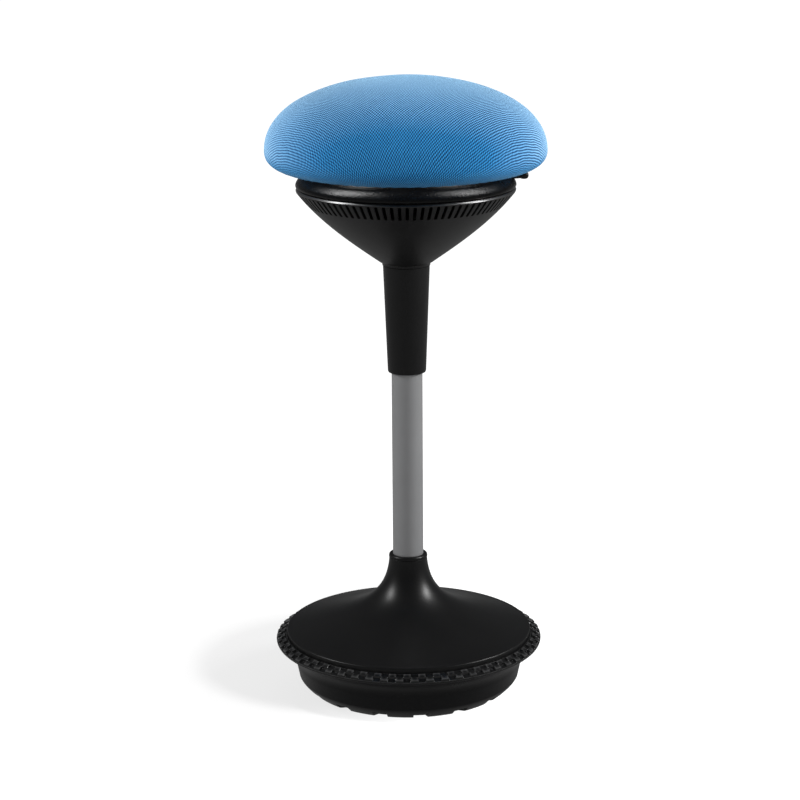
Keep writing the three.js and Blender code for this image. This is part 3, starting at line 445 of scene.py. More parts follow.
ring_radius, ring_bore, ring_bottom, ring_top = 22.8, 19.3, 163, 185.5
ring_edge = (neck_radius + 0.2, neck_mouth + 0.3)
neck_ring_outline = [
    (ring_bore, ring_bottom), (neck_radius - shell_wall - 0.3, ring_bottom),
    (neck_radius - shell_wall - 0.3, neck_mouth + 0.3), ring_edge, (neck_radius + 0.2, neck_mouth + 1.4),
] + curve(
    (neck_radius + 0.2, neck_mouth + 1.4), (neck_radius + 0.1, ring_top), (ring_radius - 2, ring_top), steps=8,
) + [(ring_bore + 0.5, ring_top), (ring_bore, ring_top - 0.5)]
grommet = dress(piece("neck_grommet", turned(neck_ring_outline, even(96))), satin_plastic)
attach(grommet, "base")
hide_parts("neck_ring")

# Column: a round steel tube welded to the base plate, coated satin silver.
# The bearing seat is a turned steel disc held near its lower end.

column_radius, column_wall, column_bottom, column_top = 19, 1.8, 38.9, 432
silver_colour, silver_light = (0.25, 0.252, 0.256, 1), (0.29, 0.292, 0.297, 1)

# Drawn marks: fine streaks along the tube, and turning marks round machined parts.
drawn, drawn_in, drawn_out = effect(
    "drawn_marks",
    {"Place": "NodeSocketVector", "Along": "NodeSocketVector", "Streak Size": "NodeSocketFloat"},
    {"Streak": "NodeSocketFloat", "Mottle": "NodeSocketFloat"},
)
streak_rate = node(drawn, "ShaderNodeMath", {0: 1.0, 1: drawn_in.outputs["Streak Size"]}, operation="DIVIDE")
stretched = node(drawn, "ShaderNodeVectorMath", {
    0: drawn_in.outputs["Place"], 1: drawn_in.outputs["Along"],
}, operation="MULTIPLY")
streaks = node(drawn, "ShaderNodeTexNoise", {
    "Vector": stretched.outputs[0], "Scale": streak_rate.outputs[0], "Detail": 3.0,
})
clouds = node(drawn, "ShaderNodeTexNoise", {"Vector": drawn_in.outputs["Place"], "Scale": 26.0, "Detail": 4.0})
drawn.links.new(streaks.outputs["Fac"], drawn_out.inputs["Streak"])
drawn.links.new(clouds.outputs["Fac"], drawn_out.inputs["Mottle"])


def drawn_metal(name, low_colour, high_colour, roughness, gloss_change, along, streak_size, depth, metallic):
    """A drawn, turned or ground metal with fine streaks."""
    material = bpy.data.materials.new(name)
    material.use_nodes = True
    tree = material.node_tree
    shader = tree.nodes["Principled BSDF"]
    place = node(tree, "ShaderNodeTexCoord").outputs["Object"]
    marks = node(tree, "ShaderNodeGroup", node_tree=drawn)
    tree.links.new(place, marks.inputs["Place"])
    marks.inputs["Along"].default_value = along
    marks.inputs["Streak Size"].default_value = streak_size
    colour = tree.nodes.new("ShaderNodeMix")
    colour.data_type = "RGBA"
    tree.links.new(marks.outputs["Mottle"], colour.inputs["Factor"])
    colour.inputs["A"].default_value = low_colour
    colour.inputs["B"].default_value = high_colour
    tree.links.new(colour.outputs["Result"], shader.inputs["Base Color"])
    gloss = node(tree, "ShaderNodeMapRange", {
        "Value": marks.outputs["Streak"], "From Min": 0.3, "From Max": 0.7,
        "To Min": roughness - gloss_change, "To Max": roughness + gloss_change,
    })
    tree.links.new(gloss.outputs["Result"], shader.inputs["Roughness"])
    shader.inputs["Metallic"].default_value = metallic
    bump = node(tree, "ShaderNodeBump", {"Height": marks.outputs["Streak"], "Distance": depth})
    bump.inputs["Strength"].default_value = 0.5
    tree.links.new(bump.outputs["Normal"], shader.inputs["Normal"])
    return material


silver_tube = drawn_metal(
    "silver_tube", silver_colour, silver_light, 0.46, 0.04, (1, 1, 0.02), 0.0011, 0.00001, 0.15,
)
silver_tube.node_tree.nodes["Principled BSDF"].inputs["Specular IOR Level"].default_value = 0.15
column_outline = [
    (column_radius - column_wall, column_bottom), (column_radius, column_bottom),
    (column_radius, column_top - 0.4), (column_radius - 0.4, column_top), (column_radius - column_wall, column_top),
]
column = dress(piece("column", turned(column_outline, even(128))), silver_tube)
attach(column, "base")
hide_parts("column_tube")
coat(zinc_steel, "bearing_seat")

# Lift bearing: two ground races with a cage of balls between them, a rubber end bumper above,
# and a spring-steel clip that holds the rod down under the bearing seat.

polished_steel = drawn_metal(
    "polished_steel", (0.58, 0.58, 0.59, 1), (0.66, 0.66, 0.67, 1), 0.14, 0.05,
    (0.05, 0.05, 1), 0.0006, 0.000004, 1.0,
)
coat(polished_steel, "lower_race", "upper_race", "ball_cage")
coat(zinc_steel, "rod_clip")
coat(rubber, "end_bumper")

# Gas lift: a chromed piston rod in a black pressure tube, with a brass piston and a rubber seal.
# The tube slides in a nylon bush at the column's mouth; the valve's button stands in its head.

brass = drawn_metal("brass", (0.55, 0.36, 0.1, 1), (0.62, 0.42, 0.13, 1), 0.3, 0.06, (0.05, 0.05, 1), 0.0008, 0.00001, 1.0)
nylon = grained("nylon", (0.017, 0.0175, 0.019, 1), (0.022, 0.0225, 0.024, 1), 0.5, 0.05, 0.0014, 0.00006)
coat(polished_steel, "piston_rod")
coat(brass, "piston")
coat(black_steel, "pressure_tube")
coat(rubber, "rod_seal")
coat(nylon, "guide_bush")
coat(zinc_steel, "release_button")

# Seat plate: a pressed steel pan with the taper socket welded in, painted black,
# and four bolts up into the board.

coat(black_steel, "taper_socket", "seat_plate")
coat(zinc_steel, *[f"plate_bolt_{i}" for i in range(1, 5)])

# Release lever: a flat paddle over the valve's button on a pin between two ears,
# a round rod out to the rim, and a moulded plastic grip pushed on its end.

lever_height, grip_start, grip_end = 660, 128.5, 147.5
grip_radius, grip_bore = 4.6, 3.7


def laid(shell, height):
    """Lays a turned shell along +X at that height."""
    points, faces = shell
    return [Vector((p.z, p.y, height * MM - p.x)) for p in points], faces


grip_outline = [(grip_bore, grip_start), (grip_radius - 1.1, grip_start)] + curve(
    (grip_radius - 1.1, grip_start), (grip_radius - 0.5, grip_start), (grip_radius - 0.45, grip_start + 1.5), steps=4,
)
grip_outline += [(grip_radius - 0.6, grip_start + 6), (grip_radius - 0.9, grip_start + 9)]
grip_outline += curve(
    (grip_radius - 0.9, grip_start + 9), (grip_radius, grip_start + 10.5), (grip_radius, grip_start + 14), steps=6,
)
grip_outline += curve(
    (grip_radius, grip_start + 14), (grip_radius, grip_end), (0.001, grip_end), steps=10,
)[:-1] + [(0, grip_end), (0, grip_end - 1.2), (grip_bore, grip_end - 1.2)]
grip_shell = turned(grip_outline, even(40))
grip = dress(piece("lever_knob", laid(grip_shell, lever_height)), satin_plastic)
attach(grip, "lever")
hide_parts("lever_grip")
coat(black_steel, "release_lever")
coat(zinc_steel, "lever_pivot_pin")

# Seat board: the plywood disc inside the cushion, with tee nuts for the plate's bolts.

board_low, board_high = (0.42, 0.28, 0.14, 1), (0.56, 0.4, 0.22, 1)
plywood = drawn_metal("plywood", board_low, board_high, 0.72, 0.06, (1, 0.06, 0.3), 0.002, 0.0001, 0.0)
coat(plywood, "seat_board")
coat(zinc_steel, *[f"tee_nut_{i}" for i in range(1, 5)])

# Rim collar: the rolled bead under the seat, moulded in black plastic with a leather-like grain,
# screwed up into the board, with a notch for the lever.

bead_radius, bead_height, bead_top, bead_wall = 132.9, 650.2, 665.4, 2.6
upstand_radius, upstand_top, collar_flange_inner = 117.5, 673.7, 101.5
collar_screw_circle, notch_half, notch_bottom = 109.5, 5.8, 654.8


grained_plastic = grained(
    "grained_plastic", (0.0022, 0.0023, 0.0026, 1), (0.0032, 0.0033, 0.0036, 1), 0.27, 0.04, 0.0018, 0.0006,
    specular=0.27, wear_and_glint_colour=(0.012, 0.012, 0.013, 1),
)
bead = [(bead_radius - 5.4, 647.4)] + curve(
    (bead_radius - 5.4, 647.4), (bead_radius - 0.3, 647.4), (bead_radius, bead_height), steps=10,
)
bead += curve((bead_radius, bead_height), (bead_radius - 0.1, 653.4), (130.4, 656.4), (126.8, 659.6), steps=18)
bead += curve((126.8, 659.6), (123.6, 662.4), (118.6, 662.6), (upstand_radius, bead_top), steps=10)
collar_outline = [(123.5, 644.4)] + bead
collar_outline += [
    (upstand_radius, upstand_top), (collar_flange_inner, upstand_top), (collar_flange_inner, upstand_top - bead_wall),
    (upstand_radius - bead_wall, upstand_top - bead_wall), (upstand_radius - bead_wall, 657.6),
]
collar_outline += curve((upstand_radius - bead_wall, 657.6), (123, 657.6), (123, 652), steps=6)
collar_outline += [(121.5, 644.4)]
collar = piece("rim_bead", turned(collar_outline, even(256)))


def cut(made, cutter_name, low, high):
    """Cuts a block, given by its corners in millimetres, out of a piece."""
    bpy.ops.mesh.primitive_cube_add(size=1)
    cutter = bpy.context.object
    cutter.name = cutter_name
    cutter.scale = [(b - a) * MM for a, b in zip(low, high)]
    cutter.location = [(a + b) / 2 * MM for a, b in zip(low, high)]
    boolean = made.modifiers.new("cut", "BOOLEAN")
    boolean.operation, boolean.object, boolean.solver = "DIFFERENCE", cutter, "EXACT"
    bpy.context.view_layer.update()
    shaped = made.evaluated_get(bpy.context.evaluated_depsgraph_get())
    mesh = bpy.data.meshes.new_from_object(shaped)
    made.modifiers.clear()
    made.data = mesh
    bpy.data.objects.remove(cutter)
    return made


cut(collar, "lever_notch", (97, -notch_half, notch_bottom), (133.4, notch_half, 680))
dress(collar, grained_plastic)
collar.data.set_sharp_from_angle(angle=math.radians(34))
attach(collar, "seat")
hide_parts("rim_collar")
coat(zinc_steel, *[f"collar_screw_{i}" for i in range(1, 5)])

# Vented cone: a thin bowed funnel moulded in black plastic, snapped under the collar's bead.
# A row of narrow slots runs all round just under its rim.

cone_top_radius, cone_top_height, cone_wall = 132.3, 643.6, 2.6
cone_base_radius, cone_base_height = 33.5, 557
cone_neck_radius, cone_neck_height = 29.2, 552
slots, slot_half, slot_top, slot_bottom = 90, 2, 643.6, 626.2
slot_turn_shift = math.radians(0.65)
rim_lip, rim_height, rim_chamfer = 132.6, 646.9, 2.6


def bow(low, high):
    """The two pulls of the cone's slightly bowed side."""
    reach, rise = high[0] - low[0], high[1] - low[1]
    return (low[0] + reach * 0.36, low[1] + rise * 0.29), (low[0] + reach * 0.73, low[1] + rise * 0.6)


side_low, side_high = (cone_base_radius, cone_base_height), (cone_top_radius, cone_top_height - 0.6)
side = [side_low] + curve(side_low, *bow(side_low, side_high), side_high, steps=160)


def side_radius(height):
    """The cone's outer radius at that height."""
    for (r0, z0), (r1, z1) in zip(side, side[1:]):
        if z0 <= height <= z1:
            return r0 + (r1 - r0) * (height - z0) / (z1 - z0)
    return side[-1][0]


side_heights = [cone_base_height + 1.5 + 65 * (i / 26) for i in range(26)]
slot_heights = [slot_bottom, slot_bottom + 0.5, slot_bottom + 1.3, 631, 636, 639, slot_top - 1.3, slot_top - 0.5, slot_top]


def rimmed(height):
    """The side's radius, drawn in smoothly under the rim."""
    return min(side_radius(height), rim_lip - 0.105 * max(0.0, slot_top - height) ** 1.45)


outer = [(side_radius(z), z) for z in side_heights if z < slot_bottom - 0.8]
first_slot = len(outer)
outer += [(rimmed(z), z) for z in slot_heights]
last_slot = len(outer) - 1
outer += [(rim_lip - 0.1, slot_top + 0.4)]
wall_step = []
for i, (r, z) in enumerate(outer):
    a, b = outer[max(0, i - 1)], outer[min(len(outer) - 1, i + 1)]
    along = Vector((b[0] - a[0], b[1] - a[1])).normalized()
    wall_step.append((r - along.y * cone_wall, z + along.x * cone_wall))
inner = [(r, min(z, rim_height - 1.2)) for r, z in wall_step]
column_shares = [("edge", -1), ("mid", 0), ("edge", 1), ("rib", 0.33), ("rib", 0.67)]
cone_points, cone_faces = [], []
columns = slots * len(column_shares)


def ring_of(radius, height, narrowing=1.0, bend_radius=None):
    """One ring of the cone's points; the slot's edges keep their width at every radius."""
    first = len(cone_points)
    half = slot_half * narrowing / (bend_radius or radius)
    for i in range(slots):
        middle = TURN * (i + 0.5) / slots + slot_turn_shift
        for kind, share in column_shares:
            if kind == "rib":
                low, high = middle + half, middle + TURN / slots - half
                angle = low + (high - low) * share
            else:
                angle = middle + half * share
            cone_points.append(Vector((radius * math.cos(angle), radius * math.sin(angle), height)) * MM)
    return first


def band(low, high, flip=False, open_slots=False):
    """The faces between two rings, left open at the slots if asked."""
    for i in range(columns):
        if open_slots and i % len(column_shares) in (0, 1):
            continue
        j = (i + 1) % columns
        face = (low + i, low + j, high + j, high + i)
        cone_faces.append(face[::-1] if flip else face)


narrow = {first_slot: 0.45, first_slot + 1: 0.86, last_slot - 1: 0.86, last_slot: 0.45}
outer_rings = [ring_of(r, z, narrow.get(i, 1.0)) for i, (r, z) in enumerate(outer)]
inner_rings = [ring_of(r, z, narrow.get(i, 1.0), outer[i][0]) for i, (r, z) in enumerate(inner)]
for i in range(len(outer) - 1):
    in_slots = first_slot <= i < last_slot
    band(outer_rings[i], outer_rings[i + 1], open_slots=in_slots)
    band(inner_rings[i], inner_rings[i + 1], flip=True, open_slots=in_slots)
for slot_index in range(slots):
    left, right = slot_index * len(column_shares), slot_index * len(column_shares) + 2
    for i in range(first_slot, last_slot):
        o0, o1, n0, n1 = outer_rings[i], outer_rings[i + 1], inner_rings[i], inner_rings[i + 1]
        cone_faces.append((o0 + left, o1 + left, n1 + left, n0 + left))
        cone_faces.append((o0 + right, n0 + right, n1 + right, o1 + right))
    for row, flip in ((first_slot, False), (last_slot, True)):
        for k in (left, left + 1):
            face = (outer_rings[row] + k, inner_rings[row] + k, inner_rings[row] + k + 1, outer_rings[row] + k + 1)
            cone_faces.append(face if flip else face[::-1])
rim = [outer_rings[-1]]
rim_low, rim_edge = (rim_lip, rim_height - 2.3), (rim_lip - 1.5, rim_height - 0.25)
rim += [ring_of(r, z) for r, z in [rim_low] + curve(rim_low, (rim_lip - 0.3, rim_height - 1.5), rim_edge, steps=4) + curve(
    rim_edge, (rim_lip - 1.7, rim_height), (rim_lip - rim_chamfer, rim_height), steps=3,
)]
rim += [ring_of(127.6, rim_height)]
for low, high in zip(rim, rim[1:]):
    band(low, high)
band(rim[-1], inner_rings[-1])
foot_rows = [(cone_neck_radius - cone_wall, cone_neck_height), (cone_neck_radius, cone_neck_height), (cone_neck_radius, 553.2)]
foot_rows += curve((cone_neck_radius, 553.2), (cone_neck_radius + 0.2, 555), (cone_base_radius - 0.6, 556.5), steps=5)
neck_rings = [ring_of(r, z) for r, z in foot_rows]
for low, high in zip(neck_rings, neck_rings[1:] + [outer_rings[0]]):
    band(low, high)
band(neck_rings[0], inner_rings[0], flip=True)
# Its satin plastic is painted a little lighter than the base's: painted light, standing in for the light thrown up from
# the floor onto the down-facing cone. It is rubbed shiny along the rim.
cone_plastic = grained(
    "cone_plastic", (0.0085, 0.0085, 0.0087, 1), (0.0105, 0.0105, 0.0107, 1), 0.35, 0.03, 0.0011, 0.00006,
    specular=0.35, wear_and_glint_colour=plastic_worn,
)
cone_tree = cone_plastic.node_tree
cone_shader = cone_tree.nodes["Principled BSDF"]
cone_place = node(cone_tree, "ShaderNodeSeparateXYZ", {0: node(cone_tree, "ShaderNodeTexCoord").outputs["Object"]})
off_rim = node(cone_tree, "ShaderNodeMath", {0: cone_place.outputs["Z"], 1: (rim_height - 1.2) * MM}, operation="SUBTRACT")
from_rim = node(cone_tree, "ShaderNodeMath", {0: off_rim.outputs[0]}, operation="ABSOLUTE")
rubbed_rim = node(cone_tree, "ShaderNodeMapRange", {
    "Value": from_rim.outputs[0], "From Min": 0.0013, "From Max": 0.0017, "To Min": 1.0, "To Max": 0.0,
})
cone_tree.links.new(rubbed_rim.outputs["Result"], cone_shader.inputs["Coat Weight"])
cone_shader.inputs["Coat Roughness"].default_value = 0.2
cone = dress(piece("vented_funnel", (cone_points, cone_faces)), cone_plastic)
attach(cone, "seat")
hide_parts("vented_cone")

# Sleeve: the tapered black plastic tube that hangs from the cone's neck and slides over the column.

sleeve_top_radius, sleeve_bottom_radius, sleeve_bore = 28.5, 23.6, 20.8
sleeve_top, sleeve_bottom = 551.7, 418.3
sleeve_edge = (sleeve_bottom_radius - 2.2, sleeve_bottom)
spigot_radius, spigot_top = 26.3, 561.7
sleeve_outline = [(sleeve_bore, sleeve_bottom + 0.6), (sleeve_bore + 0.5, sleeve_bottom), sleeve_edge] + curve(
    sleeve_edge, (sleeve_bottom_radius - 0.1, sleeve_bottom), (sleeve_bottom_radius, sleeve_bottom + 3), steps=6,
)
sleeve_outline += [
    (sleeve_bottom_radius + (sleeve_top_radius - sleeve_bottom_radius) * i / 12,
     sleeve_bottom + 3 + (sleeve_top - sleeve_bottom - 3.6) * i / 12) for i in range(1, 13)
]
sleeve_outline += [
    (sleeve_top_radius - 0.6, sleeve_top), (spigot_radius, sleeve_top), (spigot_radius, spigot_top),
    (spigot_radius - 2, spigot_top), (spigot_radius - 2, sleeve_top),
]
sleeve = dress(piece("sleeve", turned(sleeve_outline, even(128))), satin_plastic)
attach(sleeve, "seat")
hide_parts("column_sleeve")

# Cushion: a moulded foam pad in a tightly stretched blue spacer-mesh cover, which turns in
# under the seat and is gathered and stapled to the board. A pocket in the foam clears the lever.

seat_top, seat_radius, widest_height, underside, lip_radius = 779, 169.7, 692, 667, 125
recess_radius, recess_top = 118.1, 686.3
pocket_inner, pocket_outer, pocket_half, pocket_depth = 112, 153, 8, 14
fabric_colour = (0.007, 0.135, 0.35, 1)
painted_sheen_colour = (0.37, 0.62, 0.86, 1)
hole_colour = (0.001, 0.02, 0.07, 1)
crown_rise, under_drop = seat_top - widest_height, widest_height - underside
lip, widest = (lip_radius, underside), (seat_radius, widest_height)
cushion_outline = [(recess_radius + 0.6, underside + 0.3), (121, underside), lip]
cushion_outline += curve(
    lip, (lip_radius + (seat_radius - lip_radius) * 0.39, underside),
    (seat_radius, widest_height - under_drop * 0.81), widest, steps=34,
)
cushion_outline += curve(
    widest, (seat_radius, widest_height + crown_rise * 0.6), (seat_radius * 0.57, seat_top), (0, seat_top), steps=72,
)
crown_end = len(cushion_outline) - 1
cushion_outline += [(0, recess_top), (recess_radius, recess_top), (recess_radius, underside + 1.5)]
recess_edge = len(cushion_outline) - 1
pleats = random.Random(7)
pleat_shift = [pleats.uniform(-0.3, 0.3) for _ in range(72)]


def soft(row, angle, radius, height):
    """Soft unevenness of the stuffed cover, gathers at the tuck and the lever's pocket."""
    if crown_end < row < recess_edge:
        return angle, radius, height
    place = Vector((radius * math.cos(angle), radius * math.sin(angle), height)) * 0.017
    swell = noise.noise(place) * 0.7
    grow = ramp(radius, 118, 135)
    reach = radius + swell * grow * ramp(height, underside, widest_height)
    rise = height + swell * ramp(height, widest_height, seat_top)
    if height < widest_height:
        gather = math.sin(angle * 58 + 2.2 * noise.noise(place * 0.8))
        gather *= ramp(radius, 119, 126) * (1 - ramp(radius, 140, 166))
        rise += (gather * 0.45 + 0.2) * (0.6 + 0.5 * noise.noise(place * 2.3))
        sideways = abs(radius * math.sin(angle)) if math.cos(angle) > 0 else radius
        pocket = 1 - ramp(sideways, pocket_half, pocket_half + 5)
        pocket *= ramp(radius, pocket_inner, pocket_inner + 5) * (1 - ramp(radius, pocket_outer - 3, pocket_outer + 5))
        rise += pocket * pocket_depth
    return angle, reach, rise


cushion = piece("cushion", turned(cushion_outline, even(320), soft), crease=80)

# The cover's own flat sheet: each point's distance from the crown, laid out round it.
run, flat_reach = 0.0, {}
profile = cushion_outline[:crown_end + 1]
for low, high in zip(reversed(profile[:-1]), reversed(profile[1:])):
    run += math.dist(low, high) * 0.8 + abs(high[0] - low[0]) * 0.2
    flat_reach[low] = run
sheet = cushion.data.uv_layers.new(name="sheet")
points_flat = []
for row, place in enumerate(cushion_outline):
    if place[0] < MM:
        points_flat.append((0.0, 0.0))
        continue
    reach = flat_reach.get(place, run) * MM
    points_flat += [(reach * math.cos(a), reach * math.sin(a)) for a in even(320)]
for loop in cushion.data.loops:
    sheet.data[loop.index].uv = points_flat[loop.vertex_index]

# Knitted mesh: staggered open cells between ribs, with a slightly uneven yarn.
knit, knit_in, knit_out = effect(
    "mesh_knit",
    {"Sheet": "NodeSocketVector", "Cell Width": "NodeSocketFloat", "Cell Length": "NodeSocketFloat"},
    {"Hole": "NodeSocketFloat", "Height": "NodeSocketFloat", "Yarn": "NodeSocketFloat"},
)
slack = node(knit, "ShaderNodeTexNoise", {"Vector": knit_in.outputs["Sheet"], "Scale": 48.0, "Detail": 1.0})
drift = node(knit, "ShaderNodeVectorMath", {0: slack.outputs["Color"], 1: (0.003, 0.004, 0), 2: knit_in.outputs["Sheet"]},
             operation="MULTIPLY_ADD")
on_bias = node(knit, "ShaderNodeMapping", {
    "Vector": drift.outputs[0], "Rotation": (0, 0, TURN / 8), "Scale": (1, 0.75, 1),
})
apart = node(knit, "ShaderNodeSeparateXYZ", {0: on_bias.outputs[0]})
waves = []
for axis, size in (("X", "Cell Width"), ("Y", "Cell Length")):
    turns = node(knit, "ShaderNodeMath", {0: apart.outputs[axis], 1: knit_in.outputs[size]}, operation="DIVIDE")
    phase = node(knit, "ShaderNodeMath", {0: turns.outputs[0], 1: TURN}, operation="MULTIPLY")
    waves.append(node(knit, "ShaderNodeMath", {0: phase.outputs[0]}, operation="COSINE").outputs[0])
lattice = node(knit, "ShaderNodeMath", {0: waves[1], 1: 0.85, 2: waves[0]}, operation="MULTIPLY_ADD")
cell = node(knit, "ShaderNodeMapRange", {
    "Value": lattice.outputs[0], "From Min": -0.5, "From Max": 0.35, "To Min": 0.0, "To Max": 1.0,
})
yarn = node(knit, "ShaderNodeTexNoise", {"Vector": knit_in.outputs["Sheet"], "Scale": 420.0, "Detail": 2.0})
raised = node(knit, "ShaderNodeMath", {0: 1.0, 1: cell.outputs["Result"]}, operation="SUBTRACT")
knit.links.new(cell.outputs["Result"], knit_out.inputs["Hole"])
knit.links.new(raised.outputs[0], knit_out.inputs["Height"])
knit.links.new(yarn.outputs["Fac"], knit_out.inputs["Yarn"])

mesh_fabric = bpy.data.materials.new("mesh_fabric")
mesh_fabric.use_nodes = True
cloth = mesh_fabric.node_tree
cloth_shader = cloth.nodes["Principled BSDF"]
laid_out = node(cloth, "ShaderNodeUVMap", uv_map="sheet")
weave = node(cloth, "ShaderNodeGroup", node_tree=knit)
cloth.links.new(laid_out.outputs["UV"], weave.inputs["Sheet"])
weave.inputs["Cell Width"].default_value = 0.0024
weave.inputs["Cell Length"].default_value = 0.0024
tone = cloth.nodes.new("ShaderNodeMix")
tone.data_type = "RGBA"
cloth.links.new(weave.outputs["Yarn"], tone.inputs["Factor"])
tone.inputs["A"].default_value = fabric_colour
tone.inputs["B"].default_value = (0.032, 0.25, 0.52, 1)
rimlight = node(cloth, "ShaderNodeLayerWeight", {"Blend": 0.32})
painted_sheen_mix = cloth.nodes.new("ShaderNodeMix")
painted_sheen_mix.data_type = "RGBA"
# Painted sheen: the cloth's colour turns lighter from about half way round towards the edge, where the nap catches the
# light.
painted_sheen_share = node(cloth, "ShaderNodeMapRange", {
    "Value": rimlight.outputs["Facing"], "From Min": 0.12, "From Max": 0.8, "To Min": 0.0, "To Max": 0.85,
})
# Painted shade: underneath, away from the light, the painted sheen is held back and the colour stays deep.
turned_up = node(cloth, "ShaderNodeSeparateXYZ", {0: node(cloth, "ShaderNodeNewGeometry").outputs["Normal"]})
painted_light_from_above = node(cloth, "ShaderNodeMapRange", {
    "Value": turned_up.outputs["Z"], "From Min": -0.6, "From Max": 0.1, "To Min": 0.1, "To Max": 1.0,
})
painted_sheen_lit_side = node(cloth, "ShaderNodeMath", {0: painted_sheen_share.outputs["Result"], 1: painted_light_from_above.outputs["Result"]}, operation="MULTIPLY")
cloth.links.new(painted_sheen_lit_side.outputs[0], painted_sheen_mix.inputs["Factor"])
cloth.links.new(tone.outputs["Result"], painted_sheen_mix.inputs["A"])
painted_sheen_mix.inputs["B"].default_value = painted_sheen_colour
holed = cloth.nodes.new("ShaderNodeMix")
holed.data_type = "RGBA"
# The holes close up where the sheet is seen edge on.
closed = node(cloth, "ShaderNodeMath", {0: rimlight.outputs["Facing"], 1: -0.4, 2: 1.12}, operation="MULTIPLY_ADD", use_clamp=True)
open_hole = node(cloth, "ShaderNodeMath", {0: weave.outputs["Hole"], 1: closed.outputs[0]}, operation="MULTIPLY")
cloth.links.new(open_hole.outputs[0], holed.inputs["Factor"])
cloth.links.new(painted_sheen_mix.outputs["Result"], holed.inputs["A"])
holed.inputs["B"].default_value = hole_colour
cloth.links.new(holed.outputs["Result"], cloth_shader.inputs["Base Color"])
cloth_shader.inputs["Roughness"].default_value = 0.85
cloth_shader.inputs["Specular IOR Level"].default_value = 0.1
cloth_shader.inputs["Sheen Weight"].default_value = 0.15
cloth_shader.inputs["Sheen Roughness"].default_value = 0.4
cloth_shader.inputs["Sheen Tint"].default_value = (0.35, 0.7, 1, 1)
weave_bump = node(cloth, "ShaderNodeBump", {"Height": weave.outputs["Height"], "Distance": 0.0006})
weave_bump.inputs["Strength"].default_value = 0.7
cloth.links.new(weave_bump.outputs["Normal"], cloth_shader.inputs["Normal"])

dress(cushion, mesh_fabric)
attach(cushion, "seat")
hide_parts("seat_cover", "foam_pad")

# Studio: a pale floor out to the horizon, a soft room and large soft lights, and the camera
# a little above the seat, looking slightly down.

floor_mesh = bpy.data.meshes.new("floor")
floor_half, floor_height = 30, -0.0002
floor_mesh.from_pydata([
    (x * floor_half, y * floor_half, floor_height) for x, y in ((-1, -1), (1, -1), (1, 1), (-1, 1))
], [], [(0, 1, 2, 3)])
floor = bpy.data.objects.new("floor", floor_mesh)
bpy.context.scene.collection.objects.link(floor)
pale = bpy.data.materials.new("pale_floor")
pale.use_nodes = True
lit = pale.node_tree
paper = lit.nodes["Principled BSDF"]
paper.inputs["Base Color"].default_value = (0.16, 0.16, 0.16, 1)
paper.inputs["Roughness"].default_value = 0.9
paper.inputs["Specular IOR Level"].default_value = 0.0
# Lit from below for the eye, so that the part's shadow on it stays faint.
seen = node(lit, "ShaderNodeLightPath")
sheet_side = node(lit, "ShaderNodeNewGeometry")
# Left of and behind the base the glow is turned down in an ellipse: painted shade, which the lamps make up for except
# where the foot's real shadow falls.
spot = node(lit, "ShaderNodeVectorMath", {
    0: sheet_side.outputs["Position"], 1: (4.2, 2.6, 1), 2: (0.72, -0.6, 0),
}, operation="MULTIPLY_ADD")
away = node(lit, "ShaderNodeVectorMath", {0: spot.outputs[0]}, operation="LENGTH")
clear = node(lit, "ShaderNodeMapRange", {
    "Value": away.outputs["Value"], "From Min": 0.7, "From Max": 1.2, "To Min": 0.73, "To Max": 1.0,
}, interpolation_type="SMOOTHSTEP")
glow = node(lit, "ShaderNodeMapRange", {
    "Value": seen.outputs["Is Camera Ray"], "From Min": 0.0, "From Max": 1.0, "To Min": 0.22,
    "To Max": clear.outputs["Result"],
})
paper.inputs["Emission Color"].default_value = (1, 1, 1, 1)
lit.links.new(glow.outputs["Result"], paper.inputs["Emission Strength"])
dim_floor = node(lit, "ShaderNodeEmission", {"Color": (1, 1, 1, 1), "Strength": 0.24})
either = node(lit, "ShaderNodeMixShader", {
    0: seen.outputs["Is Glossy Ray"], 1: paper.outputs["BSDF"], 2: dim_floor.outputs[0],
})
# From below the floor is clear, so that the foot's tread can be seen.
through = node(lit, "ShaderNodeMixShader", {
    0: sheet_side.outputs["Backfacing"], 1: either.outputs[0],
    2: node(lit, "ShaderNodeBsdfTransparent").outputs["BSDF"],
})
lit.links.new(through.outputs[0], lit.nodes["Material Output"].inputs["Surface"])
dress(floor, pale)

world = bpy.data.worlds.new("studio")
bpy.context.scene.world = world
world.use_nodes = True
room = world.node_tree
room_light = room.nodes["Background"]
room_light.inputs["Color"].default_value = (1, 1, 1, 1)
room_light.inputs["Strength"].default_value = 0.38
dim_walls = node(room, "ShaderNodeBackground", {"Color": (0.95, 0.97, 1, 1), "Strength": 0.08})
rays = node(room, "ShaderNodeLightPath")
both = node(room, "ShaderNodeMixShader", {
    0: rays.outputs["Is Glossy Ray"], 1: room_light.outputs[0], 2: dim_walls.outputs[0],
})
white = node(room, "ShaderNodeBackground", {"Color": (1, 1, 1, 1), "Strength": 1.0})
shown = node(room, "ShaderNodeMixShader", {
    0: rays.outputs["Is Camera Ray"], 1: both.outputs[0], 2: white.outputs[0],
})
room.links.new(shown.outputs[0], room.nodes["World Output"].inputs["Surface"])


def soft_light(name, location, target, width, height, power, colour=(1, 1, 1)):
    """A large soft light aimed at a point."""
    lamp = bpy.data.lights.new(name, "AREA")
    lamp.shape, lamp.size, lamp.size_y, lamp.energy, lamp.color = "RECTANGLE", width, height, power, colour
    made = bpy.data.objects.new(name, lamp)
    bpy.context.scene.collection.objects.link(made)
    made.location = location
    made.rotation_euler = (Vector(target) - Vector(location)).to_track_quat("-Z", "Y").to_euler()
    return made


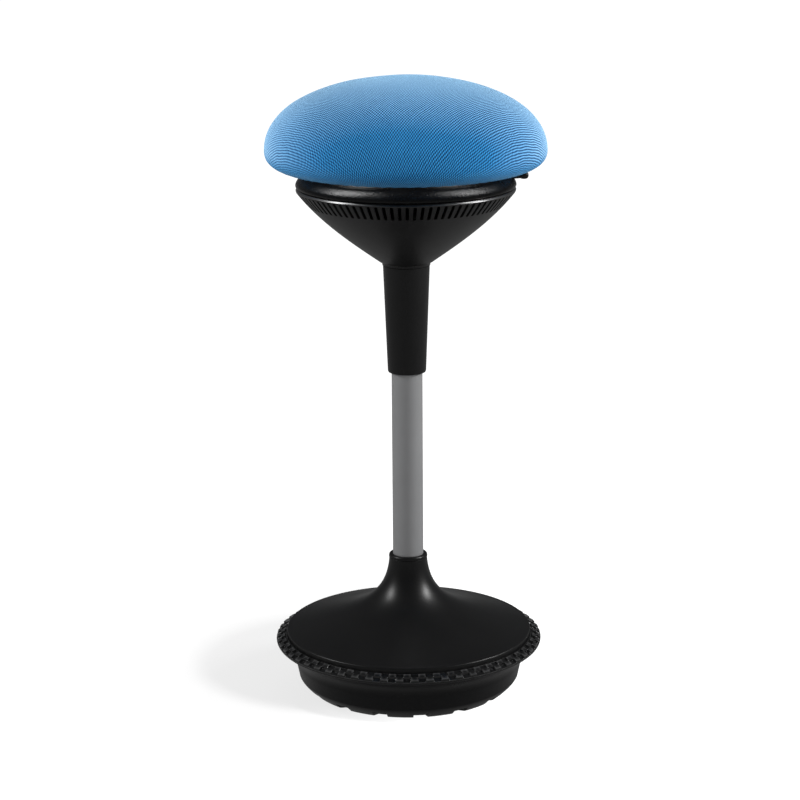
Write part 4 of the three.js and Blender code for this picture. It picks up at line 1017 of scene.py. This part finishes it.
side_lights = (
    soft_light("right", (1.85, -0.2, 1.4), (0, 0, 0.6), 0.55, 0.7, 36),
    soft_light("left", (-1.8, -0.25, 1.5), (0, 0, 0.55), 0.55, 0.7, 22),
)
bead_lights = (
    soft_light("bead_right", (1.36, 0.05, 2.2), (0, 0, 0.65), 0.5, 1.0, 27),
    soft_light("bead_left", (-1.36, 0.05, 2.3), (0, 0, 0.65), 0.5, 1.0, 38),
)
fills = (
    soft_light("right_fill", (2.1, -1.0, 1.3), (0, 0, 0.72), 0.8, 0.8, 54),
    soft_light("left_fill", (-2.2, -0.8, 1.3), (0, 0, 0.72), 0.8, 0.8, 62),
)
overhead = soft_light("overhead", (0.0, 0.7, 2.6), (0, 0, 0.7), 1.8, 1.4, 6)
overhead.visible_glossy = False


def linked(name, state, *objects):
    """A collection for light linking, with these objects let in or left out."""
    group = bpy.data.collections.new(name)
    for i, member in enumerate(objects):
        group.objects.link(member)
        group.collection_objects[i].light_linking.link_state = state
    return group


# The bead sits deep under the cushion: two higher lights reach only it and the cone's rim there.
# Two more fill only the cushion's ends. A low light from the front lays the foot's faint shadow
# on the floor.
for lamp in side_lights:
    lamp.light_linking.receiver_collection = linked(lamp.name + "_skips", "EXCLUDE", collar)
for lamp in bead_lights:
    lamp.light_linking.blocker_collection = linked(lamp.name + "_passes", "EXCLUDE", cushion)
    lamp.light_linking.receiver_collection = linked(lamp.name + "_lights", "INCLUDE", collar, cone)
for lamp in fills:
    lamp.light_linking.receiver_collection = linked(lamp.name + "_lights", "INCLUDE", cushion)
shadow_light = soft_light("floor_light", (2.4, -2.6, 1.8), (0, 0, 0), 0.7, 0.5, 370)
shadow_light.visible_glossy = False
shadow_light.light_linking.receiver_collection = linked("floor_only", "INCLUDE", floor)
shadow_light.light_linking.blocker_collection = linked("foot_only", "INCLUDE", foot)

camera_height, camera_back, camera_tilt, camera_roll = 1.0869, 2.739, 75.57, -0.36
camera_data = bpy.data.cameras.new("camera")
camera_data.sensor_width = 36
camera_data.lens = 2298 / 800 * 36
camera_data.shift_x = -0.009
camera = bpy.data.objects.new("camera", camera_data)
bpy.context.scene.collection.objects.link(camera)
camera.matrix_world = (
    Matrix.Translation((0, -camera_back, camera_height))
    @ Matrix.Rotation(math.radians(camera_tilt), 4, "X")
    @ Matrix.Rotation(math.radians(camera_roll), 4, "Z")
)
bpy.context.scene.camera = camera
bpy.context.scene.view_settings.view_transform = "Standard"
